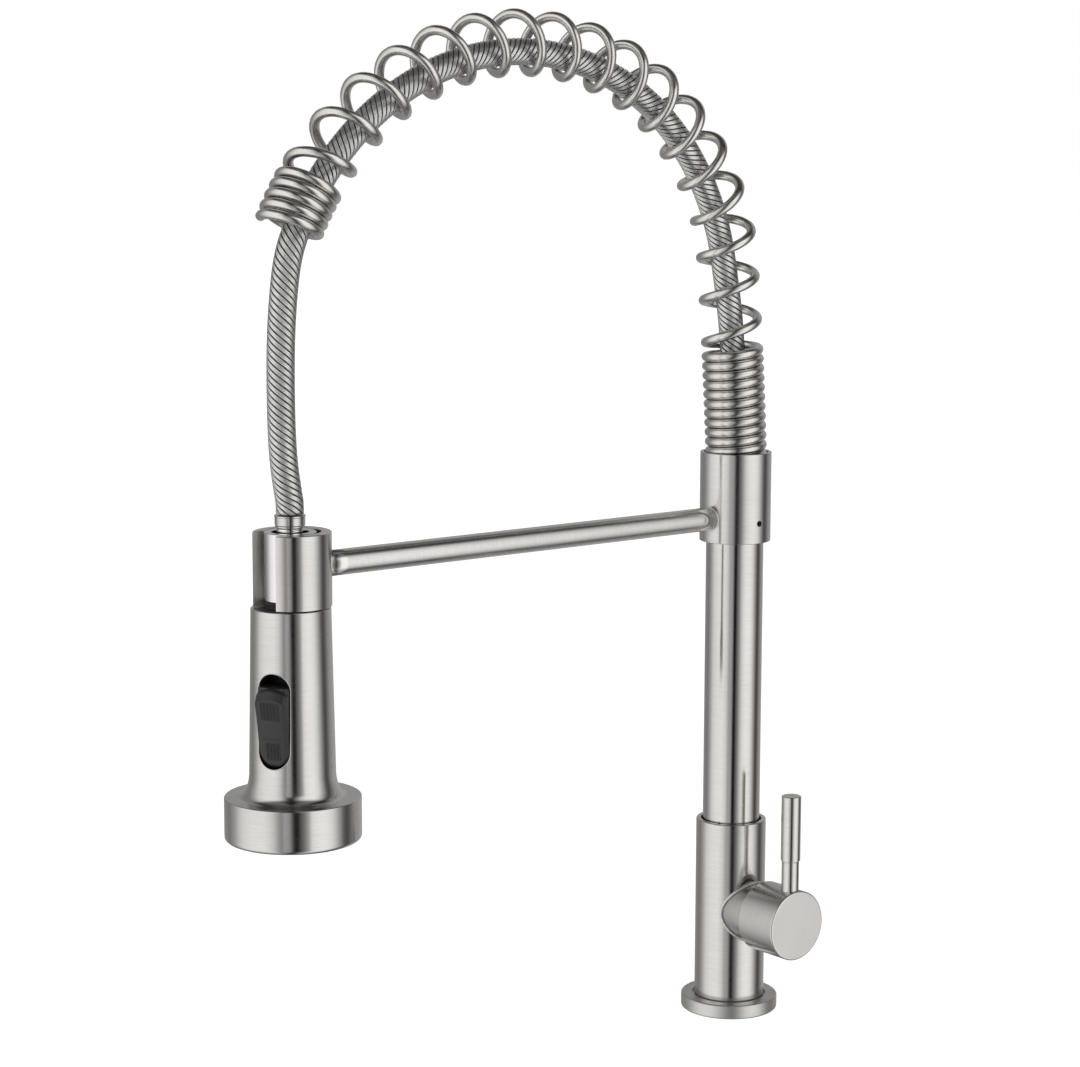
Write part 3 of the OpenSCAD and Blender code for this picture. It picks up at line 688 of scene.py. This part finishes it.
def coil_u(t):
    """Distance along the arch after t turns, with the changes of pitch eased."""
    close = CLOSE_PITCH
    open_length = arch.length - (POST_TURNS + END_TURNS) * close
    wide = open_length / OPEN_TURNS
    fine = np.linspace(0, POST_TURNS + OPEN_TURNS + END_TURNS, 6000)
    opening = smoothstep((fine - POST_TURNS + 0.25) / 0.5)
    closing = smoothstep((fine - POST_TURNS - OPEN_TURNS + 0.5) / 1.0)
    rate = close + (wide - close) * (opening - closing)
    u = np.concatenate([[0], np.cumsum((rate[1:] + rate[:-1]) / 2 * np.diff(fine))])
    return np.interp(t, fine, u * arch.length / u[-1])


def arch_spring():
    turns = POST_TURNS + OPEN_TURNS + END_TURNS - STOPS_SHORT
    t = np.linspace(0, turns, int(turns * COIL_STEPS) + 1)
    centre, heading = arch.at(coil_u(t))
    w = math.pi + TURN * t
    out = COIL_R * np.sin(w)
    line = np.stack([
        COIL_R * np.cos(w),
        -centre[:, 0] + out * np.cos(heading),
        centre[:, 1] + out * np.sin(heading),
    ], 1)
    beside = np.stack([np.zeros(len(t)), -np.sin(heading), np.cos(heading)], 1)
    radius = np.full(len(t), WIRE_R)
    tangent = unit(np.gradient(line, axis=0))
    past = np.array([[0.15], [0.3]])
    worn = np.array([WIRE_R - 0.05, WIRE_R - 0.3])
    line = np.concatenate([line[0] - tangent[0] * past[::-1], line, line[-1] + tangent[-1] * past])
    beside = np.concatenate([beside[[0, 0]], beside, beside[[-1, -1]]])
    radius = np.concatenate([worn[::-1], radius, worn])
    points = sweep_points(line, beside, radius, WIRE_SIDES)
    return build("spring", points, tube_faces(len(line), WIRE_SIDES), WIRE)


fit(arch_spring(), "spout", "spring_wire", "arch_spring")

# ---------- base ----------

fit(turned("flange", [
    (CORE_R, 0, 0), (18, 0, 0.1), (18, 2, 0.1), (21.4, 2, 0.1), (21.4, 0, 0.1), (FLANGE_R, 0, 1.1),
    (FLANGE_R, FLANGE_H, 0.9), (18.1, FLANGE_H, 0.25), (18.1, FLANGE_H - 1.2, 0.1),
    (BODY_R - 0.1, FLANGE_H - 1.2, 0), (BODY_R - 0.1, FLANGE_H, 0), (CORE_R, FLANGE_H, 0),
], SOFT), "base", "brushed_nickel", "deck_flange")

body_cuts = [
    rod_cutter(SLEEVE_BORE, (0, 0, HANDLE_Z), (30, 0, HANDLE_Z), 96),
    rod_cutter(2, (0, 10, 78.5), (0, 20, 78.5)),
]
fit(turned("body", [
    (CORE_R, FLANGE_H, 0), (BODY_R, FLANGE_H, 0.45), (BODY_R, BODY_TOP, 0.7), (CORE_R, BODY_TOP, 0.3),
], STEEL, cuts=body_cuts), "base", "brushed_nickel", "valve_body")


def saddle(radius, post_radius, axis, centre, count=120):
    """The loop where a rod of that radius along axis meets a post."""
    w = TURN * np.arange(count) / count
    across, upward = radius * np.cos(w), radius * np.sin(w)
    reach = np.sqrt(post_radius ** 2 - across ** 2)
    if axis == "x":
        return np.stack([reach, across, centre + upward], 1)
    return np.stack([across, -reach, centre + upward], 1)


def sleeve():
    """The tube that holds the cartridge, from its saddle on the body to a rounded end."""
    count = 120
    outer = saddle(SLEEVE_R, BODY_R - 0.2, "x", HANDLE_Z, count)
    direction = unit(outer * [0, 1, 1] - [0, 0, HANDLE_Z])
    centre = np.array([0, 0, HANDLE_Z], float)
    rings = [outer]
    profile = [(SLEEVE_R, SLEEVE_END - 0.5)]
    for a in range(1, 6):
        w = math.radians(18 * a)
        profile.append((SLEEVE_R - 0.5 + 0.5 * math.cos(w), SLEEVE_END - 0.5 + 0.5 * math.sin(w)))
    profile.append((SLEEVE_BORE, SLEEVE_END))
    for r, x in profile:
        rings.append(centre + direction * r + [x, 0, 0])
    rings.append(saddle(SLEEVE_BORE, BODY_R - 0.2, "x", HANDLE_Z, count))
    points = np.concatenate(rings)
    # The sleeve takes the darkened copy of the brushed nickel, as painted shade
    obj = build("sleeve", points, tube_faces(len(rings), count, closed_path=True), SHADED_SLEEVE)
    obj.data.set_sharp_from_angle(angle=math.radians(40))
    return obj


fit(sleeve(), "base", "brushed_nickel", "cartridge_sleeve")
# The sleeve's weld bead wears the lightened metal, as a painted highlight
weld = bead("sleeve_weld", saddle(SLEEVE_R + 0.35, BODY_R + 0.2, "x", HANDLE_Z), 0.75, WELD_HIGHLIGHT)
fit(weld, "base", "brushed_nickel")

# ---------- handle ----------

CAP_R = 17.1
CAP_REAR = 24.6
CAP_FACE = 48
LEVER_X = 42.7
LEVER_FOOT = HANDLE_Z + 15.4
LEVER_STEP = 83.1
LEVER_TOP = 115.7


def cap_relief():
    """A block under the cap's rear, tilted by the lever's relief angle."""
    place = at(45.6, 0, HANDLE_Z - CAP_R + 0.15) @ Matrix.Rotation(math.radians(4), 4, "Y")
    return build("cutter", *box((-30, 0), (-22, 22), (-10, 0)), STEEL, place)


cap_cuts = [
    cap_relief(),
    rod_cutter(4.35, (LEVER_X, 0, LEVER_FOOT), (LEVER_X, 0, HANDLE_Z + 20)),
    rod_cutter(2.5, (39, 0, HANDLE_Z - 20), (39, 0, HANDLE_Z - 5)),
]
cap = turned("handle_cap_shell", [
    (0, CAP_REAR + 10.4, 0), (14.7, CAP_REAR + 10.4, 0.3), (14.7, CAP_REAR, 0.2), (CAP_R, CAP_REAR, 0.45),
    (CAP_R, CAP_FACE, 0.8), (0, CAP_FACE, 0),
], STEEL_X, ALONG_X, closed=False, cuts=cap_cuts)
repaint(cap, BLASTED, lambda c, n: c.x > (CAP_FACE - 0.1) * MM and n.x > 0.99)
fit(cap, "handle", "brushed_nickel", "handle_cap")

fit(turned("lever", [
    (0, LEVER_FOOT, 0), (4.2, LEVER_FOOT, 0.1), (4.2, LEVER_STEP, 0.15), (4.05, LEVER_STEP, 0.05),
    (4.05, LEVER_STEP + 0.5, 0.05), (4.75, LEVER_STEP + 0.5, 0.4), (4.75, LEVER_TOP, 0.55),
    (0, LEVER_TOP, 0),
], TUBE, at(LEVER_X), closed=False, sides=96), "handle", "brushed_nickel", "lever_rod")

# ---------- post ----------

fit(turned("riser", [
    (RISER_R - 1.5, RISER_LOW, 0), (RISER_R, RISER_LOW, 0.2), (RISER_R, RISER_TOP, 0.2),
    (RISER_R - 1.5, RISER_TOP, 0),
], TUBE), "spout", "brushed_nickel", "riser_tube")

collar_cuts = [rod_cutter(1.5, (15, 0, 245.2), (25, 0, 245.2))]
fit(turned("post_collar", [
    (RISER_R, COLLAR_LOW, 0.1), (COLLAR_R, COLLAR_LOW, 0.4), (COLLAR_R, COLLAR_TOP, 0.45),
    (15.6, COLLAR_TOP, 0.3), (15.6, 272, 0.2), (9.5, 272, 0.1), (9.5, RISER_TOP, 0), (RISER_R, RISER_TOP, 0),
], STEEL, cuts=collar_cuts), "spout", "brushed_nickel", "collar")


def arm():
    """The docking arm, shaped to the collar at one end and to the ring at the other."""
    count, rows = 72, 24
    w = TURN * np.arange(count) / count
    across, upward = ARM_R * np.cos(w), ARM_R * np.sin(w)
    near = -np.sqrt(COLLAR_R ** 2 - across ** 2) + 0.3
    far = -RING_S + np.sqrt(RING_R ** 2 - across ** 2) - 0.3
    rings = [
        np.stack([across, near + (far - near) * k, ARM_Z + upward], 1) for k in np.linspace(0, 1, rows)
    ]
    return build("arm", np.concatenate(rings), tube_faces(rows, count), STEEL_Y)


fit(arm(), "spout", "brushed_nickel", "docking_arm")
collar_weld = bead("arm_weld_collar", saddle(ARM_R + 0.1, COLLAR_R, "y", ARM_Z, 72), 0.35, STEEL_Y)
fit(collar_weld, "spout", "brushed_nickel")
ring_loop = saddle(ARM_R + 0.1, RING_R, "y", ARM_Z, 72) * [1, -1, 1] - [0, RING_S, 0]
fit(bead("arm_weld_ring", ring_loop, 0.35, STEEL_Y), "spout", "brushed_nickel")


def slot_block():
    """The block that opens the docking ring's front."""
    half = RING_SLOT / 2
    block = box((-half, half), (-RING_S - 25, -RING_S), (RING_LOW - 2, RING_TOP + 2))
    return build("cutter", *block, STEEL)


ring = turned("dock_ring", [
    (RING_BORE_R, RING_LOW, 0.3), (RING_R, RING_LOW, 0.35), (RING_R, RING_TOP, 0.6),
    (RING_BORE_R, RING_TOP, 0.35),
], STEEL, at(0, -RING_S), cuts=[slot_block()])
repaint(ring, CUT, lambda c, n: abs(abs(c.x) / MM - RING_SLOT / 2) < 0.1 and abs(n.x) > 0.9)
fit(ring, "spout", "brushed_nickel", "docking_ring")

# ---------- hose end and neck ----------

fit(turned("crimp_ferrule", [
    (0, 264.8, 0), (6.3, 264.8, 0.2), (6.3, 265.5, 0.1), (6.6, 265.9, 0.2), (6.6, 269.2, 0.2),
    (6.75, 269.4, 0.1), (6.75, FERRULE_TOP, 0.12), (0, FERRULE_TOP, 0),
], STEEL, HEAD, closed=False, sides=96), "hose_end", "polished_steel", "hose_ferrule")

fit(turned("union_nut", [
    (3.56, 240, 0), (7.2, 240, 0.3), (7.2, 254.9, 0.2), (5.9, 255, 0.2), (5.9, 264.5, 0.4),
    (3.56, 264.5, 0.1),
], POLISHED, HEAD, sides=96), "head", "polished_steel", "hose_nut")

fit(turned("neck", [
    (5, 218, 0), (8, 218, 0.2), (8, NECK_LOW, 0.2), (11.4, NECK_LOW, 0.3), (11.4, NECK_TOP, 0.5),
    (8.1, NECK_TOP, 0.3), (8.1, 255, 0.2), (7.2, 255, 0.1), (7.2, 234.5, 0.2), (5, 234.5, 0.1),
], POLISHED, HEAD, sides=128), "head", "polished_steel", "spray_neck")

fit(turned("neck_gasket", [
    (8, SHELL_TOP, 0.1), (11.6, SHELL_TOP, 0.3), (11.6, 231.5, 0.2), (11.2, 231.8, 0.2),
    (11.6, 232.1, 0.2), (11.6, NECK_LOW, 0.3), (8, NECK_LOW, 0.1),
], RUBBER, HEAD, sides=96), "head", "black_rubber", "neck_seal")

# ---------- spray head ----------

SHELL_TOP_R = 17.35
SHELL_LOW_R = 18.8
DISC_R = 29.85
DISC_LOW = 128
DISC_TOP = 147.3
FLARE_W = 5.2
FLARE_H = 11


def obround(width, low, high, count=28):
    """An upright slot's outline as [across, height] points, anticlockwise."""
    r = width / 2
    w = np.linspace(0, math.pi, count)
    top = np.stack([r * np.cos(w), high - r + r * np.sin(w)], 1)
    foot = np.stack([-r * np.cos(w), low + r - r * np.sin(w)], 1)
    sides = np.linspace(high - r, low + r, 12)[1:-1]
    left = np.stack([np.full(10, -r), sides], 1)
    right = np.stack([np.full(10, r), sides[::-1]], 1)
    return np.concatenate([top, left, foot, right])


def shell_radius(z):
    """Outer radius of the head above its flare."""
    base = DISC_TOP + FLARE_H
    return SHELL_LOW_R + (SHELL_TOP_R - SHELL_LOW_R) * (z - base) / (SHELL_TOP - base)


def slot_cutter():
    """The rocker's opening through the head's wall."""
    loop = obround(SLOT_W, SLOT_LOW, SLOT_HIGH)
    count = len(loop)
    rings = [np.stack([loop[:, 0], np.full(count, -v), loop[:, 1]], 1) for v in (10.0, 30.0)]
    return build("cutter", np.concatenate(rings), tube_faces(2, count), STEEL, BUTTON)


flare = [
    (SHELL_LOW_R + FLARE_W * (1 - math.sin(w)), DISC_TOP + FLARE_H * (1 - math.cos(w)), SMOOTH)
    for w in np.radians(np.linspace(0, 90, 17))
]
shell = turned("head_housing", [
    (0, SHELL_TOP - 1.9, 0), (SHELL_TOP_R - 1.9, SHELL_TOP - 1.9, 0.3),
    (SHELL_LOW_R - 1.9, DISC_TOP + FLARE_H, 0), (SHELL_LOW_R - 1.9, DISC_TOP - 2, 0.2),
    (DISC_R - 2, DISC_TOP - 2, 0.3), (DISC_R - 2, DISC_LOW, 0.3), (DISC_R, DISC_LOW, 1.9),
    (DISC_R, DISC_TOP, 0.75), *flare, (SHELL_TOP_R, SHELL_TOP, 0.5), (0, SHELL_TOP, 0),
], STEEL, HEAD, closed=False, sides=192, cuts=[slot_cutter()])
fit(shell, "head", "brushed_nickel", "head_shell")

rim_loop = obround(SLOT_W + 0.1, SLOT_LOW - 0.05, SLOT_HIGH + 0.05, 40)
rim_out = np.sqrt(shell_radius(rim_loop[:, 1]) ** 2 - rim_loop[:, 0] ** 2)
rim = bead("slot_rim", np.stack([rim_loop[:, 0], -rim_out + 0.1, rim_loop[:, 1]], 1), 0.22, STEEL)
rim.data.transform(BUTTON)
fit(rim, "head", "brushed_nickel")

# ---------- rocker button ----------

BUTTON_W = 14.4
BUTTON_LOW = 163.2
BUTTON_HIGH = 198
BUTTON_BACK = 10.4
SHOULDER_Z = 195.9
CREASE_Z = 175.5
CROWN = 0.6
EDGE_W, EDGE_DROP = 1.1, 0.7
RIB_PITCH, RIB_H = 1.5, 0.26

# How far the face stands from the head's axis at each height
BUTTON_HEIGHTS = [BUTTON_LOW, CREASE_Z, 193.4, 197, BUTTON_HIGH]
BUTTON_REACH = [17.2, 19, 22.2, 20.6, 19]

# Lower edge, upper edge and half width of each pad
RIBBED_PADS = [(184, 192.3, 4.6), (166.5, 174.3, 3.8)]


def rocker():
    """The rocker's moulded face, with its two ribbed pads, and walls back into the head."""
    r = BUTTON_W / 2
    low_centre = BUTTON_LOW + r
    rows = np.concatenate([
        BUTTON_LOW + r * (1 - np.cos(np.linspace(0, math.pi / 2, 14))),
        np.linspace(low_centre, SHOULDER_Z, 110)[1:],
        SHOULDER_Z + np.linspace(0, BUTTON_HIGH - SHOULDER_Z, 7)[1:],
    ])
    half = np.full(len(rows), r)
    foot, head = rows < low_centre, rows > SHOULDER_Z
    half[foot] = np.sqrt(np.maximum(r ** 2 - (low_centre - rows[foot]) ** 2, 0.04))
    half[head] = np.sqrt(r ** 2 - (rows[head] - SHOULDER_Z) ** 2)
    columns = np.linspace(-1, 1, 97)
    z = np.repeat(rows[:, None], len(columns), 1)
    x = half[:, None] * columns[None]
    domed = z + 2.4 * (x / r) ** 2 * smoothstep((z - 186) / 7)
    face = np.interp(domed, BUTTON_HEIGHTS, BUTTON_REACH) - CROWN * (x / r) ** 2
    edge = np.minimum(half[:, None] - np.abs(x), z - BUTTON_LOW)
    face = face - EDGE_DROP * (1 - smoothstep(edge / EDGE_W))
    groove = np.exp(-((z - CREASE_Z) / 0.35) ** 2) * smoothstep((4.6 - np.abs(x)) / 0.8)
    face = face - 0.28 * groove
    for low, high, width in RIBBED_PADS:
        upright = smoothstep((z - low) / 0.7) * smoothstep((high - z) / 0.7)
        sideways = smoothstep((width - np.abs(x)) / 0.5)
        face = face + RIB_H * upright * sideways * np.cos(TURN * x / RIB_PITCH)
    grid = np.stack([x, -face, z], 2)
    n, m = len(rows), len(columns)
    points = list(grid.reshape(-1, 3))
    faces = [
        (i * m + k, i * m + k + 1, (i + 1) * m + k + 1, (i + 1) * m + k)
        for i in range(n - 1) for k in range(m - 1)
    ]
    border = (
        list(range(m)) + [i * m + m - 1 for i in range(1, n)]
        + [(n - 1) * m + k for k in range(m - 2, -1, -1)] + [i * m for i in range(n - 2, 0, -1)]
    )
    first = len(points)
    for index in border:
        p = points[index]
        points.append(np.array([p[0], -BUTTON_BACK, p[2]]))
    count = len(border)
    for k in range(count):
        j = (k + 1) % count
        faces.append((border[j], border[k], first + k, first + j))
    faces.append(tuple(first + k for k in reversed(range(count))))
    finger = box((-1.5, 1.5), (-11, -2.6), (178.8, 181.2))
    obj = joined("rocker", [(points, faces), finger], BLACK)
    obj.data.transform(BUTTON)
    obj.data.set_sharp_from_angle(angle=math.radians(50))
    return obj


fit(rocker(), "rocker", "black_plastic", "rocker_button")

# ---------- spray face ----------


def nozzle_spots():
    """Where each nozzle stands, in two rings."""
    for radius, count in ((16.5, 14), (22.5, 22)):
        for i in range(count):
            w = TURN * i / count
            yield radius * math.cos(w), radius * math.sin(w) - HEAD_S


def spray_nozzles():
    """Soft nipples that taper to a rounded tip with a hole in it."""
    profile = [
        (1.3, 134), (1.3, 129.2), (1.12, 128.1), (1.0, 127.7), (0.8, 127.45), (0.6, 127.4), (0.5, 127.5),
        (0.45, 130),
    ]
    sides = 20
    w = TURN * np.arange(sides) / sides
    parts = []
    for x, y in nozzle_spots():
        rings = [np.stack([x + r * np.cos(w), y + r * np.sin(w), np.full(sides, z)], 1) for r, z in profile]
        faces = [tuple(reversed(face)) for face in tube_faces(len(profile), sides)]
        parts.append((np.concatenate(rings), faces))
    return joined("spray_nozzles", parts, NIPPLE)


fit(spray_nozzles(), "head", "nozzle_rubber", "nozzles")

# ---------- floor and light ----------


FLOOR_SIZE = 18000


def floor():
    """Pale paper that metal doesn't mirror."""
    half = FLOOR_SIZE / 2
    points = [(-half, -half, 0), (half, -half, 0), (half, half, 0), (-half, half, 0)]
    material, tree, shader = new_material("floor_paper", (0.9, 0.9, 0.9), 0.0, 0.9)
    paper = noise(tree, 260, (1, 1, 1), 4)
    tinted(tree, shader, ranged(tree, paper, 0, 1), (0.88, 0.88, 0.88), (0.9, 0.9, 0.9))
    shader.inputs["Emission Color"].default_value = (1, 1, 1, 1)
    shader.inputs["Emission Strength"].default_value = 0.8
    obj = build("floor", points, [(0, 1, 2, 3)], material)
    obj.visible_glossy = False


floor()

def fill_ramp(ramp, levels):
    """Sets a colour ramp's greys from (position, level) pairs that run from 0 to 1."""
    stops = ramp.color_ramp.elements
    for i, (position, level) in enumerate(levels):
        ends = i in (0, len(levels) - 1)
        stop = stops[-1 if i else 0] if ends else stops.new(position)
        stop.color = (level, level, level, 1)


# Brightness of the sky by degrees round from the camera, right positive
LIGHT_ROUND = [
    (-180, 0.38), (-150, 0.3), (-125, 0.26), (-108, 0.48), (-90, 0.94), (-70, 1.12), (-45, 1.16),
    (-30, 0.92), (-18, 0.42), (-9, 0.1), (-3, 0.02), (4, 0.02), (9, 0.12), (16, 0.36), (26, 0.75),
    (36, 1.08), (48, 1.22), (62, 1.22), (74, 1.02), (86, 0.55), (98, 0.14), (108, 0.07), (120, 0.24),
    (135, 0.4), (160, 0.46), (180, 0.38),
]

# Brightness of the screen by degrees round from the camera, seen from the faucet
SCREEN = [
    (-18, 0.55), (-13, 0.5), (-8, 0.41), (-4.5, 0.1), (-2, 0.0), (4, 0.0), (8, 0.12), (14, 0.24),
    (19, 0.4), (25, 0.72),
]
SCREEN_AWAY = 1.45
SCREEN_HEIGHT = 1800


def camera_screen():
    """A screen behind the camera, dark in the middle, which each upright piece shows as its dark line."""
    low, high = SCREEN[0][0], SCREEN[-1][0]
    near, far = (SCREEN_AWAY * math.tan(math.radians(a)) / MM for a in (low, high))
    half = SCREEN_HEIGHT / 2
    points = [(near, 0, -half), (far, 0, -half), (far, 0, half), (near, 0, half)]
    material = bpy.data.materials.new("screen")
    material.use_nodes = True
    tree = material.node_tree
    tree.nodes.clear()
    place = tree.nodes.new("ShaderNodeTexCoord")
    apart = tree.nodes.new("ShaderNodeSeparateXYZ")
    ramp = tree.nodes.new("ShaderNodeValToRGB")
    fill_ramp(ramp, [
        ((SCREEN_AWAY * math.tan(math.radians(a)) / MM - near) / (far - near), level) for a, level in SCREEN
    ])
    glow = tree.nodes.new("ShaderNodeEmission")
    output = tree.nodes.new("ShaderNodeOutputMaterial")
    tree.links.new(place.outputs["Object"], apart.inputs[0])
    tree.links.new(ranged(tree, apart.outputs["X"], 0, 1, (near * MM, far * MM)), ramp.inputs[0])
    tree.links.new(ramp.outputs["Color"], glow.inputs["Color"])
    tree.links.new(glow.outputs[0], output.inputs["Surface"])
    obj = build("screen", points, [(0, 1, 2, 3)], material)
    centre = Vector((math.sin(AZIMUTH), -math.cos(AZIMUTH), 0)) * SCREEN_AWAY
    obj.matrix_world = Matrix.Translation(centre) @ Matrix.Rotation(AZIMUTH, 4, "Z")
    obj.visible_camera = False
    obj.visible_diffuse = False
    obj.visible_shadow = False


camera_screen()


def studio_light():
    """Soft boxes left and right of the camera with dark cards between them. The camera sees white."""
    world = bpy.data.worlds.new("studio")
    bpy.context.scene.world = world
    world.use_nodes = True
    tree = world.node_tree
    tree.nodes.clear()
    place = tree.nodes.new("ShaderNodeTexCoord")
    apart = tree.nodes.new("ShaderNodeSeparateXYZ")
    tree.links.new(place.outputs["Generated"], apart.inputs[0])

    def maths(operation, *values):
        node = tree.nodes.new("ShaderNodeMath")
        node.operation = operation
        for socket, value in zip(node.inputs, values):
            if isinstance(value, (int, float)):
                socket.default_value = value
            else:
                tree.links.new(value, socket)
        return node.outputs[0]

    # The angle round from the camera's side, where the camera stands at azimuth AZIMUTH from -Y towards +X
    angle = maths("ARCTAN2", apart.outputs["X"], maths("MULTIPLY", apart.outputs["Y"], -1.0))
    turned_by = maths("SUBTRACT", angle, AZIMUTH)
    share = maths("FRACT", maths("ADD", maths("DIVIDE", turned_by, TURN), 1.5))
    ramp = tree.nodes.new("ShaderNodeValToRGB")
    fill_ramp(ramp, [((degrees + 180) / 360, level) for degrees, level in LIGHT_ROUND])
    tree.links.new(share, ramp.inputs[0])
    overhead = ranged(tree, apart.outputs["Z"], 1.0, 0.16, (0.62, 0.8), eased=True)
    underneath = ranged(tree, apart.outputs["Z"], 0.5, 1.0, (-0.85, -0.65), eased=True)
    level = maths("MULTIPLY", ramp.outputs["Color"], maths("MULTIPLY", overhead, underneath))
    around = tree.nodes.new("ShaderNodeBackground")
    around.inputs["Color"].default_value = (1, 1, 1, 1)
    tree.links.new(level, around.inputs["Strength"])
    white = tree.nodes.new("ShaderNodeBackground")
    white.inputs["Color"].default_value = (1, 1, 1, 1)
    white.inputs["Strength"].default_value = 1.0
    path = tree.nodes.new("ShaderNodeLightPath")
    choose = tree.nodes.new("ShaderNodeMixShader")
    output = tree.nodes.new("ShaderNodeOutputWorld")
    tree.links.new(path.outputs["Is Camera Ray"], choose.inputs[0])
    tree.links.new(around.outputs[0], choose.inputs[1])
    tree.links.new(white.outputs[0], choose.inputs[2])
    tree.links.new(choose.outputs[0], output.inputs["Surface"])


studio_light()
bpy.context.scene.view_settings.view_transform = "Standard"

print(f"hose length {hose_length:.1f} mm")
